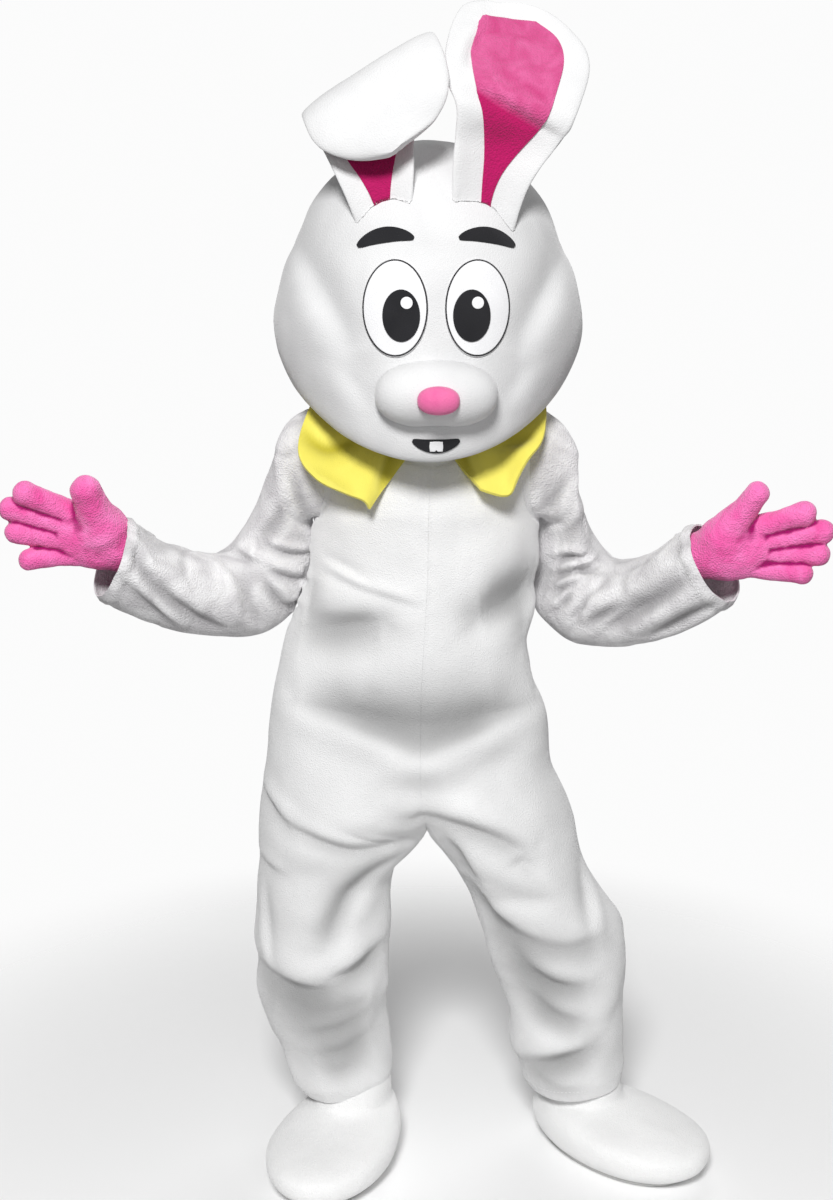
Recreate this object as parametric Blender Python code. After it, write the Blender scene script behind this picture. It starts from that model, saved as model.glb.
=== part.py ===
"""Rabbit mascot costume, worn: plush suit, collar, hollow head with two ears, gloves and shoes.

Metres, +Z up, front toward -Y. The origin is the base of the wearer's neck, where the suit hangs
from the shoulders. "right" and "left" are the wearer's: right is at -X.
"""

import math
from collections import namedtuple
from types import SimpleNamespace

import bmesh
import bpy
import numpy as np
from mathutils import Vector
from mathutils.bvhtree import BVHTree

# ---------------------------------------------------------------------------- driving sizes
FLOOR_Z = -1.390
CLOTH = 0.003            # plush suit cloth, backing and pile
SEAM_GAP = 0.0003        # between pieces that meet
LAID_GAP = 0.0006        # under a piece that lies on another
REST_STEP = 0.00002      # how far past its gap a laid piece is lifted at a time
FELT = 0.002
COLLAR_FELT = 0.005
HEAD_WALL = 0.012        # foam with plush over it
EAR_THICKNESS = 0.018
SHOE_WALL = 0.006
SOLE_THICKNESS = 0.008
GLOVE_WALL = 0.0025
PLACKET_WIDTH = 0.044

ARMPIT_Z = -0.165
CROTCH_Z = -0.750
HEM_Z = -1.272
BODY_COLUMNS = 8         # cells from a centre seam to a side seam
UPPER_ROWS = 6           # cells from the armpit to the shoulder seam
TORSO_ROWS = 14
LEG_ROWS = 12
SLEEVE_ROWS = 14
HEAD_COLUMNS = 24        # cells round the head
FACE_X = 0.012           # the face is turned slightly toward the wearer's left

SIDES = {"right": -1.0, "left": 1.0}


# ---------------------------------------------------------------------------- tables
class Sections:
    """A short table with named columns, read as smooth curves of its first column."""

    def __init__(self, names, *rows):
        self.names = names.split()
        self.rows = np.array(sorted(rows), float)
        self.knots = self.rows[:, 0]
        self.slopes = np.gradient(self.rows, self.knots, axis=0)

    def at(self, key):
        spot = min(max(key, self.knots[0]), self.knots[-1])
        i = min(int(np.searchsorted(self.knots, spot, side="right")) - 1, len(self.knots) - 2)
        span = self.knots[i + 1] - self.knots[i]
        t = (spot - self.knots[i]) / span
        values = (
            (2 * t**3 - 3 * t**2 + 1) * self.rows[i]
            + (t**3 - 2 * t**2 + t) * span * self.slopes[i]
            + (3 * t**2 - 2 * t**3) * self.rows[i + 1]
            + (t**3 - t**2) * span * self.slopes[i + 1]
        )
        return SimpleNamespace(**dict(zip(self.names, values)))


# Front and back reach of the body and legs.
DEPTH = Sections(
    "z front back",
    (-0.165, -0.130, 0.118),
    (-0.30, -0.137, 0.120),
    (-0.42, -0.142, 0.122),
    (-0.53, -0.152, 0.140),
    (-0.62, -0.154, 0.156),
    (-0.70, -0.148, 0.158),
    (-0.78, -0.136, 0.146),
    (-0.90, -0.124, 0.130),
    (-1.05, -0.112, 0.122),
    (-1.18, -0.096, 0.120),
    (-1.272, -0.090, 0.110),
)
# The outer edge of each half of the body, down to the crotch.
TORSO = {
    "right": Sections(
        "z outer",
        (-0.165, 0.201),
        (-0.24, 0.202),
        (-0.30, 0.222),
        (-0.36, 0.246),
        (-0.44, 0.262),
        (-0.53, 0.277),
        (-0.61, 0.286),
        (-0.68, 0.302),
        (-0.75, 0.316),
    ),
    "left": Sections(
        "z outer",
        (-0.165, 0.200),
        (-0.24, 0.199),
        (-0.30, 0.192),
        (-0.38, 0.184),
        (-0.44, 0.202),
        (-0.53, 0.234),
        (-0.61, 0.240),
        (-0.68, 0.266),
        (-0.75, 0.280),
    ),
}
# Where the body starts to part into two legs: 0 is one trunk and 1 is two legs that just touch.
PARTING = Sections(
    "z split",
    (-0.75, 1.0),
    (-0.68, 0.50),
    (-0.61, 0.16),
    (-0.53, 0.01),
    (-0.44, 0.0),
    (-0.165, 0.0),
)
# Each leg: its outer and inner edges, and the rise of a row for each metre outward.
LEG = {
    "right": Sections(
        "z outer inner tilt",
        (-0.75, 0.316, 0.0, 0.0),
        (-0.80, 0.319, 0.050, 0.0),
        (-0.86, 0.325, 0.074, 0.0),
        (-0.99, 0.332, 0.076, 0.0),
        (-1.07, 0.331, 0.080, -0.05),
        (-1.12, 0.308, 0.083, -0.13),
        (-1.18, 0.282, 0.077, -0.18),
        (-1.272, 0.248, 0.060, -0.20),
    ),
    "left": Sections(
        "z outer inner tilt",
        (-0.75, 0.280, 0.0, 0.0),
        (-0.80, 0.287, 0.034, 0.0),
        (-0.86, 0.312, 0.066, 0.03),
        (-0.92, 0.352, 0.088, 0.06),
        (-1.00, 0.370, 0.114, 0.10),
        (-1.08, 0.368, 0.148, 0.14),
        (-1.18, 0.374, 0.160, 0.14),
        (-1.272, 0.380, 0.190, 0.12),
    ),
}
# The centre seam wanders from side to side with the stance.
SWAY = Sections(
    "z shift",
    (-1.40, 0.0),
    (-0.75, 0.0),
    (-0.62, -0.012),
    (-0.48, -0.012),
    (-0.20, 0.0),
    (-0.165, 0.0),
    (-0.13, 0.0),
    (0.06, 0.005),
)

NECK_WIDTH = 0.095
NECK_FRONT = (-0.088, -0.034)      # y and z of the neckline at the centre front
NECK_BACK = (0.072, 0.036)
NECK_SIDE_Z = 0.052
SHOULDER_TIP = (0.200, 0.004, 0.034)
NECK_SHARE = 0.5                   # share of the top edge that is neckline, the rest is shoulder seam
ARMHOLE_DEPTH = 0.070
ARMHOLE_TUCK = 0.026               # how far the armhole curves in toward the chest


# ---------------------------------------------------------------------------- materials and meshes
def material(name, colour, roughness=0.95, metallic=0.0):
    made = bpy.data.materials.new(name)
    made.use_nodes = True
    shader = made.node_tree.nodes["Principled BSDF"]
    shader.inputs["Base Color"].default_value = (*colour, 1.0)
    shader.inputs["Roughness"].default_value = roughness
    shader.inputs["Metallic"].default_value = metallic
    made.diffuse_color = (*colour, 1.0)
    return made


def new_object(name, mesh, made_of=None):
    thing = bpy.data.objects.new(name, mesh)
    bpy.context.scene.collection.objects.link(thing)
    if made_of is not None:
        mesh.materials.append(made_of)
        mesh.shade_smooth()
        mesh.set_sharp_from_angle(angle=math.radians(40))
    return thing


def solid(name, points, faces, made_of=None):
    """A closed object from points and faces, its normals turned outward."""
    mesh = bpy.data.meshes.new(name)
    mesh.from_pydata([tuple(p) for p in points], [], faces)
    shape = bmesh.new()
    shape.from_mesh(mesh)
    bmesh.ops.recalc_face_normals(shape, faces=shape.faces)
    shape.to_mesh(mesh)
    shape.free()
    return new_object(name, mesh, made_of)


def cutter(thing):
    thing.hide_render = True
    thing.display_type = "WIRE"
    return thing


def boolean(thing, operation, other):
    step = thing.modifiers.new(f"{operation.lower()} {other.name}", "BOOLEAN")
    step.operation = operation
    step.object = other


def baked(thing):
    """The object with its modifiers turned into its own mesh."""
    graph = bpy.context.evaluated_depsgraph_get()
    mesh = bpy.data.meshes.new_from_object(thing.evaluated_get(graph))
    thing.modifiers.clear()
    thing.data = mesh
    return thing


def loft(name, rings, made_of=None):
    """A closed body through rings of equal count, with a flat cap at each end."""
    count = len(rings[0])
    points = [p for ring in rings for p in ring]
    faces = [list(range(count)), list(range(len(points) - count, len(points)))]
    for r in range(len(rings) - 1):
        for c in range(count):
            d = (c + 1) % count
            faces.append([r * count + c, r * count + d, (r + 1) * count + d, (r + 1) * count + c])
    return solid(name, points, faces, made_of)


def slab(name, grid, lift, thickness, normals, made_of):
    """A closed wall over a grid of points: its underside at lift, its face a thickness higher."""
    rows, columns = len(grid), len(grid[0])
    low = [Vector(p) + n * lift for row, ns in zip(grid, normals) for p, n in zip(row, ns)]
    high = [
        Vector(p) + n * (lift + thickness) for row, ns in zip(grid, normals) for p, n in zip(row, ns)
    ]
    total = rows * columns
    faces = []
    for r in range(rows - 1):
        for c in range(columns - 1):
            quad = [r * columns + c, r * columns + c + 1, (r + 1) * columns + c + 1, (r + 1) * columns + c]
            faces.append(quad)
            faces.append([i + total for i in reversed(quad)])
    border = [(0, c) for c in range(columns)]
    border += [(r, columns - 1) for r in range(1, rows)]
    border += [(rows - 1, c) for c in range(columns - 2, -1, -1)]
    border += [(r, 0) for r in range(rows - 2, 0, -1)]
    ids = [r * columns + c for r, c in border]
    for a, b in zip(ids, ids[1:] + ids[:1]):
        faces.append([a, b, b + total, a + total])
    return solid(name, low + high, faces, made_of)


def grid_normals(grid, toward):
    """Normals of a grid of points, all on the side that `toward` names for each point."""
    shape = np.array([[tuple(p) for p in row] for row in grid])
    along = np.gradient(shape, axis=0)
    across = np.gradient(shape, axis=1)
    normals = []
    for r, row in enumerate(grid):
        line = []
        for c, point in enumerate(row):
            n = Vector(np.cross(along[r, c], across[r, c])).normalized()
            line.append(n if n.dot(toward(Vector(point))) > 0 else -n)
        normals.append(line)
    return normals


# ---------------------------------------------------------------------------- cloth sheets and walls
class Sheet:
    """Cloth with no thickness yet: welded quads, each marked with the panel it is cut in."""

    def __init__(self):
        self.mesh = bmesh.new()
        self.spots = {}
        self.panels = []
        self.grids = {}

    def vertex(self, point):
        key = tuple(round(float(v), 5) + 0.0 for v in point)
        if key not in self.spots:
            self.spots[key] = self.mesh.verts.new(point)
        return self.spots[key]

    def grid(self, panel, rows, flip):
        """Adds rows of points as one panel; a row that runs to a single point gives triangles."""
        self.panels.append(panel)
        lines = [[self.vertex(p) for p in row] for row in rows]
        self.grids[panel] = lines
        for upper, lower in zip(lines, lines[1:]):
            for c in range(len(upper) - 1):
                corners = []
                for v in (upper[c], lower[c], lower[c + 1], upper[c + 1]):
                    if v not in corners:
                        corners.append(v)
                face = self.mesh.faces.new(reversed(corners) if flip else corners)
                face.material_index = len(self.panels) - 1

    def finish(self):
        self.mesh.normal_update()

    def push(self, height):
        """Moves every vertex along its normal by height(vertex)."""
        moves = [(v, v.normal * height(v)) for v in self.mesh.verts]
        for v, move in moves:
            v.co += move
        self.mesh.normal_update()

    def tree(self):
        return BVHTree.FromBMesh(self.mesh)


def seam_shift(vertex, edges, faces):
    """How far a panel's corner steps back from its seams, within the cloth."""
    inward = []
    for edge in edges:
        face = next(f for f in edge.link_faces if f in faces)
        run = (edge.verts[1].co - edge.verts[0].co).normalized()
        n = face.calc_center_median() - (edge.verts[0].co + edge.verts[1].co) / 2
        n -= run * n.dot(run)
        inward.append(n.normalized())
    if not inward:
        return Vector()
    if len(inward) == 1:
        return inward[0] * SEAM_GAP / 2
    total = inward[0] + inward[1]
    return total * (SEAM_GAP / 2) / max(1 + inward[0].dot(inward[1]), 0.4)


def wall(sheet, panel, thickness, made_of):
    """The panel as a closed wall: outer face on the sheet, inner face a thickness inside it."""
    tag = sheet.panels.index(panel)
    faces = {f for f in sheet.mesh.faces if f.material_index == tag}
    verts = sorted({v for f in faces for v in f.verts}, key=lambda v: tuple(v.co))
    seams = {v: [] for v in verts}
    rims = []
    for face in faces:
        for loop in face.loops:
            edge = loop.edge
            mine = [f for f in edge.link_faces if f in faces]
            if len(mine) == 2:
                continue
            rims.append((loop.vert, loop.link_loop_next.vert))
            if len(edge.link_faces) > 1:
                seams[edge.verts[0]].append(edge)
                seams[edge.verts[1]].append(edge)
    rims.sort(key=lambda pair: (tuple(pair[0].co), tuple(pair[1].co)))
    index = {v: i for i, v in enumerate(verts)}
    outer = [v.co + seam_shift(v, seams[v][:2], faces) for v in verts]
    inner = [p - v.normal * thickness for p, v in zip(outer, verts)]
    total = len(verts)
    polygons = [[index[v] for v in f.verts] for f in faces]
    polygons.sort()
    polygons += [[i + total for i in reversed(p)] for p in polygons]
    for a, b in rims:
        i, j = index[b], index[a]
        if tuple(a.co) < tuple(b.co):
            polygons += [[i, j, j + total], [i, j + total, i + total]]
        else:
            polygons += [[i, j, i + total], [j, j + total, i + total]]
    return solid(panel, outer + inner, polygons, made_of)


def rest_on(grid, tree, gap, rounds=12, parts=4):
    """Lifts a grid's points until the cells between them clear the cloth under it by gap."""
    shares = [i / parts for i in range(parts + 1)]
    for _ in range(rounds):
        for upper, lower in zip(grid, grid[1:]):
            for corners in zip(upper, upper[1:], lower, lower[1:]):
                a, b, c, d = corners
                for u in shares:
                    for v in shares:
                        point = a.lerp(b, u).lerp(c.lerp(d, u), v)
                        spot, normal, _, _ = tree.find_nearest(point)
                        short = gap - (point - spot).dot(normal)
                        if short > 0:
                            for corner in corners:
                                corner += normal * (short / 2 + REST_STEP)
    return grid


# ---------------------------------------------------------------------------- suit
def body_row(side, z):
    """One half row, from the front edge round the side to the back edge."""
    trunk = z >= CROTCH_Z
    depth = DEPTH.at(z)
    centre_y = (depth.front + depth.back) / 2
    half_depth = (depth.back - depth.front) / 2
    if trunk:
        split = min(max(PARTING.at(z).split, 0.0), 1.0)
        reach = TORSO[side].at(z).outer / (1 + split)
        centre_x, tilt = reach * split, 0.0
        end = math.acos(-split)
    else:
        leg = LEG[side].at(z)
        reach, centre_x, tilt = (leg.outer - leg.inner) / 2, (leg.outer + leg.inner) / 2, leg.tilt
        end = math.pi
    row = []
    for c in range(-BODY_COLUMNS, BODY_COLUMNS + 1):
        turn = -end * c / BODY_COLUMNS
        seam = trunk and abs(c) == BODY_COLUMNS
        x = 0.0 if seam else centre_x + reach * math.cos(turn)
        y = centre_y - half_depth * math.sin(turn)
        row.append((SIDES[side] * x + SWAY.at(z).shift, y, z + tilt * (x - centre_x)))
    return row


def armhole(side, share, face):
    """A point of the armhole, from the armpit (share 0) to the shoulder tip (share 1)."""
    turn = math.pi * (share - 0.5)
    tip_x, tip_y, tip_z = SHOULDER_TIP
    armpit_x = TORSO[side].at(ARMPIT_Z).outer
    x = armpit_x + (tip_x - armpit_x) * share - ARMHOLE_TUCK * math.cos(turn)
    depth = DEPTH.at(ARMPIT_Z)
    armpit_y = (depth.front + depth.back) / 2
    y = armpit_y + (tip_y - armpit_y) * share + face * ARMHOLE_DEPTH * math.cos(turn)
    z = (tip_z + ARMPIT_Z) / 2 + (tip_z - ARMPIT_Z) / 2 * math.sin(turn)
    return np.array((SIDES[side] * x, y, z))


def top_edge(side, share, face):
    """The neckline and then the shoulder seam, from the centre seam out to the shoulder tip."""
    neck_y, neck_z = NECK_FRONT if face < 0 else NECK_BACK
    tip_x, tip_y, tip_z = SHOULDER_TIP
    shift = SWAY.at(NECK_SIDE_Z).shift
    if share < NECK_SHARE:
        turn = math.pi / 2 * share / NECK_SHARE
        x = NECK_WIDTH * math.sin(turn)
        y = tip_y + (neck_y - tip_y) * math.cos(turn)
        z = neck_z + (NECK_SIDE_Z - neck_z) * (1 - math.cos(turn))
    else:
        out = (share - NECK_SHARE) / (1 - NECK_SHARE)
        x = NECK_WIDTH + (tip_x - NECK_WIDTH) * out
        y = tip_y
        z = NECK_SIDE_Z + (tip_z - NECK_SIDE_Z) * out**1.5
    return np.array((SIDES[side] * x + shift * (1 - share), y, z))


def upper_rows(side, face):
    """Rows from the shoulder seam down to the armpit, filled in between the four edges."""
    armpit_row = body_row(side, ARMPIT_Z)
    half = armpit_row[: BODY_COLUMNS + 1] if face < 0 else armpit_row[BODY_COLUMNS:][::-1]
    low = [np.array(p) for p in half]
    high = [top_edge(side, c / BODY_COLUMNS, face) for c in range(BODY_COLUMNS + 1)]
    rows = []
    for r in range(UPPER_ROWS, 0, -1):
        t = r / UPPER_ROWS
        centre = low[0] + (high[0] - low[0]) * np.array((t, t**1.7, t))
        edge = armhole(side, t, face)
        row = []
        for c in range(BODY_COLUMNS + 1):
            u = c / BODY_COLUMNS
            corners = (
                (1 - u) * (1 - t) * low[0] + u * (1 - t) * low[-1] + (1 - u) * t * high[0] + u * t * high[-1]
            )
            row.append((1 - t) * low[c] + t * high[c] + (1 - u) * centre + u * edge - corners)
        rows.append(row)
    return rows


def body_panels(sheet):
    torso = np.linspace(ARMPIT_Z, CROTCH_Z, TORSO_ROWS + 1)
    legs = np.linspace(CROTCH_Z, HEM_Z, LEG_ROWS + 1)[1:]
    for side, sign in SIDES.items():
        rows = [body_row(side, z) for z in (*torso, *legs)]
        front = upper_rows(side, -1) + [row[: BODY_COLUMNS + 1] for row in rows]
        back = upper_rows(side, 1) + [row[BODY_COLUMNS:][::-1] for row in rows]
        sheet.grid(f"suit_front_{side}", front, flip=sign < 0)
        sheet.grid(f"suit_back_{side}", back, flip=sign > 0)


# Each sleeve: a point on its upper edge, a point on its lower edge, how far forward it lies and
# its half depth, from the armhole (0) to the cuff (1).
SLEEVE = {
    "right": Sections(
        "along top_x top_z low_x low_z y depth",
        (0.08, 0.236, 0.018, 0.221, -0.172, 0.002, 0.070),
        (0.22, 0.278, -0.070, 0.216, -0.204, 0.014, 0.066),
        (0.34, 0.305, -0.130, 0.216, -0.246, 0.026, 0.070),
        (0.47, 0.338, -0.186, 0.235, -0.319, 0.028, 0.078),
        (0.60, 0.374, -0.226, 0.298, -0.378, 0.018, 0.080),
        (0.74, 0.425, -0.218, 0.389, -0.378, -0.012, 0.078),
        (0.88, 0.482, -0.186, 0.488, -0.350, -0.052, 0.078),
        (1.00, 0.522, -0.146, 0.588, -0.290, -0.085, 0.080),
    ),
    "left": Sections(
        "along top_x top_z low_x low_z y depth",
        (0.08, 0.224, 0.012, 0.220, -0.172, 0.002, 0.070),
        (0.22, 0.251, -0.074, 0.218, -0.206, 0.014, 0.066),
        (0.34, 0.276, -0.136, 0.213, -0.256, 0.030, 0.070),
        (0.47, 0.301, -0.196, 0.209, -0.334, 0.042, 0.078),
        (0.60, 0.330, -0.236, 0.266, -0.396, 0.024, 0.084),
        (0.74, 0.370, -0.232, 0.354, -0.394, -0.024, 0.082),
        (0.88, 0.415, -0.196, 0.448, -0.354, -0.078, 0.078),
        (1.00, 0.450, -0.158, 0.540, -0.286, -0.124, 0.078),
    ),
}


def sleeve_rings(side):
    """Rings from the armhole to the cuff, each from the underarm round the front and the top."""
    sign = SIDES[side]
    count = UPPER_ROWS
    first = [armhole(side, k / count, -1) for k in range(count)]
    first += [armhole(side, 1 - k / count, 1) for k in range(count)]
    table = SLEEVE[side]
    stations = np.linspace(0.08, 1.0, SLEEVE_ROWS)
    cuts = [table.at(s) for s in stations]
    tops = [Vector((sign * c.top_x, c.y, c.top_z)) for c in cuts]
    lows = [Vector((sign * c.low_x, c.y, c.low_z)) for c in cuts]
    middles = [(a + b) / 2 for a, b in zip(tops, lows)]
    rings = [first]
    for i, cut in enumerate(cuts):
        run = middles[min(i + 1, len(cuts) - 1)] - middles[max(i - 1, 0)]
        up = (tops[i] - lows[i]) / 2
        fore = up.cross(run).normalized() * cut.depth * sign
        fore = fore if fore.y < 0 else -fore
        ring = []
        for k in range(2 * count):
            turn = math.pi * (k / count - 0.5)
            ring.append(middles[i] + fore * math.cos(turn) + up * math.sin(turn))
        rings.append(ring)
    return rings


def sleeve_panels(sheet):
    for side, sign in SIDES.items():
        rings = [list(ring) + [ring[0]] for ring in sleeve_rings(side)]
        sheet.grid(f"sleeve_{side}", rings, flip=sign < 0)


Fold = namedtuple("Fold", "face from_x from_z to_x to_z width rise")
FRONT, BACK = -1, 1
# The largest folds of the suit. A fold follows a line seen from the front or the back.
FOLDS = [
    Fold(FRONT, -0.24, -0.50, -0.02, -0.590, 0.034, 0.010),
    Fold(FRONT, -0.02, -0.590, 0.20, -0.50, 0.034, 0.010),
    Fold(FRONT, -0.18, -0.540, -0.02, -0.635, 0.030, -0.008),
    Fold(FRONT, 0.02, -0.635, 0.16, -0.550, 0.030, -0.008),
    Fold(FRONT, -0.19, -0.275, -0.03, -0.315, 0.030, 0.006),
    Fold(FRONT, -0.20, -0.345, -0.10, -0.350, 0.028, -0.010),
    Fold(FRONT, 0.16, -0.270, 0.09, -0.335, 0.030, -0.010),
    Fold(FRONT, -0.25, -0.755, -0.06, -0.790, 0.030, 0.009),
    Fold(FRONT, -0.23, -0.800, -0.07, -0.835, 0.030, -0.007),
    Fold(FRONT, -0.09, -0.83, -0.21, -0.955, 0.032, -0.008),
    Fold(FRONT, 0.04, -0.745, 0.21, -0.815, 0.032, 0.009),
    Fold(FRONT, 0.12, -0.900, 0.34, -0.985, 0.034, -0.009),
    Fold(FRONT, 0.14, -0.950, 0.35, -1.030, 0.034, 0.008),
    Fold(FRONT, -0.11, -1.005, -0.24, -1.065, 0.032, -0.008),
    Fold(FRONT, -0.10, -1.060, -0.27, -1.110, 0.032, 0.008),
    Fold(FRONT, 0.18, -1.120, 0.35, -1.175, 0.032, 0.008),
    Fold(FRONT, 0.20, -1.170, 0.36, -1.215, 0.030, -0.007),
    Fold(BACK, -0.20, -0.465, 0.17, -0.470, 0.036, -0.009),
    Fold(BACK, -0.19, -0.400, 0.16, -0.410, 0.034, 0.007),
    Fold(BACK, -0.28, -0.760, -0.05, -0.800, 0.034, -0.009),
    Fold(BACK, 0.05, -0.800, 0.27, -0.760, 0.034, -0.009),
    Fold(BACK, -0.30, -0.985, -0.10, -1.010, 0.034, -0.008),
    Fold(BACK, 0.14, -1.000, 0.35, -0.960, 0.034, -0.008),
    Fold(BACK, -0.29, -1.050, -0.10, -1.080, 0.034, 0.008),
    Fold(BACK, 0.17, -1.085, 0.35, -1.060, 0.034, 0.008),
]


def fold_height(vertex):
    """How far the folds lift or sink the cloth here."""
    if vertex.co.z > ARMPIT_Z - 0.03 or abs(vertex.co.x) > 0.40:
        return 0.0
    if vertex.co.x < -0.21 and vertex.co.z > -0.40 or vertex.co.x > 0.205 and vertex.co.z > -0.42:
        return 0.0
    spot = np.array((vertex.co.x, vertex.co.z))
    total = 0.0
    for fold in FOLDS:
        facing = max(0.0, vertex.normal.y * fold.face)
        start = np.array((fold.from_x, fold.from_z))
        run = np.array((fold.to_x, fold.to_z)) - start
        t = float(np.clip(np.dot(spot - start, run) / np.dot(run, run), 0, 1))
        away = np.linalg.norm(spot - start - t * run)
        total += fold.rise * min(1.0, 1.6 * facing) * math.exp(-((away / fold.width) ** 2))
    return total


def placket(sheet, made_of):
    """A strip over the centre-back opening, from the neckline to the seat."""
    left, right = sheet.grids["suit_back_left"], sheet.grids["suit_back_right"]
    last = UPPER_ROWS + TORSO_ROWS - 4
    grid, normals = [], []
    for row in range(2, last):
        centre, a, b = left[row][0], left[row][1], right[row][1]
        line, ns = [], []
        for side in (b, centre, a):
            span = (side.co - centre.co).length
            share = PLACKET_WIDTH / 2 / span if span else 0.0
            line.append(centre.co.lerp(side.co, share))
            ns.append(centre.normal.lerp(side.normal, share).normalized())
        grid.append([p + n * SEAM_GAP for p, n in zip(line, ns)])
        normals.append(ns)
    rest_on(grid, sheet.tree(), LAID_GAP)
    slab("back_placket", grid, 0.0, CLOTH, normals, made_of)


# ---------------------------------------------------------------------------- collar
# The outer edge of each wing, from the centre front (0) round to the centre back (1).
COLLAR_EDGE = {
    "right": Sections(
        "along x y z",
        (0.00, 0.100, -0.150, -0.124),
        (0.10, 0.122, -0.152, -0.104),
        (0.24, 0.172, -0.142, -0.082),
        (0.36, 0.216, -0.124, -0.052),
        (0.46, 0.222, -0.092, -0.014),
        (0.58, 0.200, -0.020, 0.050),
        (0.76, 0.150, 0.090, 0.026),
        (0.88, 0.080, 0.122, -0.012),
        (1.00, 0.004, 0.130, -0.024),
    ),
    "left": Sections(
        "along x y z",
        (0.00, 0.088, -0.150, -0.092),
        (0.10, 0.118, -0.152, -0.102),
        (0.22, 0.150, -0.146, -0.092),
        (0.36, 0.180, -0.128, -0.048),
        (0.46, 0.200, -0.096, 0.000),
        (0.58, 0.204, -0.030, 0.046),
        (0.76, 0.150, 0.090, 0.026),
        (0.88, 0.080, 0.122, -0.012),
        (1.00, 0.004, 0.130, -0.024),
    ),
}
COLLAR_COLUMNS = 12
COLLAR_ROWS = 4
COLLAR_START = 0.10      # the wings start this share of the neckline away from the centre front
COLLAR_CLEAR = 0.0022    # the felt's underside stands this far off the suit
COLLAR_PUFF = 0.010      # how far a wing arches off the shoulder


def neckline(side, share):
    """A point of the neckline from the centre front (0) to the centre back (1)."""
    face = -1 if share < 0.5 else 1
    turn = 2 * share if share < 0.5 else 2 * (1 - share)
    return Vector(top_edge(side, turn * NECK_SHARE * 0.999, face))


def collar_wing(side, suit_tree, made_of):
    sign = SIDES[side]
    grid = []
    for r in range(COLLAR_ROWS + 1):
        v = r / COLLAR_ROWS
        row = []
        for c in range(COLLAR_COLUMNS + 1):
            u = c / COLLAR_COLUMNS
            edge = COLLAR_EDGE[side].at(u)
            start = neckline(side, COLLAR_START + (0.995 - COLLAR_START) * u)
            start += Vector((start.x, start.y, 0)).normalized() * 0.004
            point = start.lerp(Vector((sign * edge.x, edge.y, edge.z)), v)
            spot, normal, _, _ = suit_tree.find_nearest(point)
            puff = COLLAR_PUFF * math.sin(math.pi * v) * math.sin(math.pi * min(1.0, u * 1.6))
            height = max((point - spot).dot(normal), COLLAR_CLEAR + puff)
            row.append(spot + normal * height)
        grid.append(row)
    for row in grid:
        row[-1].x = sign * max(sign * row[-1].x, SEAM_GAP / 2 + SWAY.at(0.0).shift * sign + 0.001)
    rest_on(grid, suit_tree, LAID_GAP)
    normals = grid_normals(grid, lambda p: suit_tree.find_nearest(p)[1])
    return slab(f"collar_{side}", grid, 0.0, COLLAR_FELT, normals, made_of)


# ---------------------------------------------------------------------------- head
# Rings of the head from the neck opening (0) to the crown (1). Each ring dips toward the chin.
HEAD = Sections(
    "along z half_width front back dip",
    (0.00, 0.100, 0.138, -0.146, 0.136, 0.058),
    (0.07, 0.070, 0.170, -0.186, 0.170, 0.088),
    (0.14, 0.062, 0.202, -0.214, 0.198, 0.096),
    (0.22, 0.076, 0.229, -0.229, 0.223, 0.074),
    (0.30, 0.112, 0.246, -0.236, 0.238, 0.042),
    (0.40, 0.167, 0.256, -0.238, 0.247, 0.016),
    (0.50, 0.220, 0.257, -0.235, 0.250, 0.0),
    (0.60, 0.280, 0.246, -0.224, 0.244, 0.0),
    (0.70, 0.340, 0.222, -0.203, 0.228, 0.0),
    (0.80, 0.398, 0.193, -0.172, 0.196, 0.0),
    (0.90, 0.452, 0.134, -0.118, 0.136, 0.0),
    (0.96, 0.480, 0.072, -0.068, 0.078, 0.0),
)
HEAD_TOP_Z = 0.491
HEAD_SEAT = 0.0020       # how far the head sinks onto the collar
FACE_FRONT_Y, FACE_BACK_Y = -0.36, -0.12
CHIN_Y = -0.212          # the mouth stays in front of this
HEAD_ROWS = 15
CHEEK = SimpleNamespace(turn=math.radians(72), z=0.165, spread=math.radians(34), height=0.075, puff=0.014)


def head_point(along, turn):
    """A point of the head's outside; turn is 0 at the front and positive toward the wearer's left."""
    ring = HEAD.at(along)
    reach = -ring.front if math.cos(turn) > 0 else ring.back
    x = ring.half_width * math.sin(turn)
    y = -reach * math.cos(turn)
    away = (abs(turn) - CHEEK.turn) / CHEEK.spread
    z = ring.z - HEAD_SEAT - ring.dip * max(0.0, math.cos(turn)) ** 1.5
    puff = CHEEK.puff * math.exp(-(away**2) - ((z - CHEEK.z) / CHEEK.height) ** 2)
    return (x + puff * math.sin(turn), y - puff * math.cos(turn) * 0.5, z)


def head_sheet():
    sheet = Sheet()
    stations = np.linspace(0.0, 0.96, HEAD_ROWS)
    crown = (0.0, 0.0, HEAD_TOP_Z)
    turns = [2 * math.pi * (c / HEAD_COLUMNS - 0.5) for c in range(HEAD_COLUMNS)]
    rows = [[crown] * (HEAD_COLUMNS + 1)]
    rows += [[head_point(along, t) for t in (*turns, turns[0])] for along in stations[::-1]]
    sheet.grid("head", rows, flip=False)
    sheet.finish()
    return sheet


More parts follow.
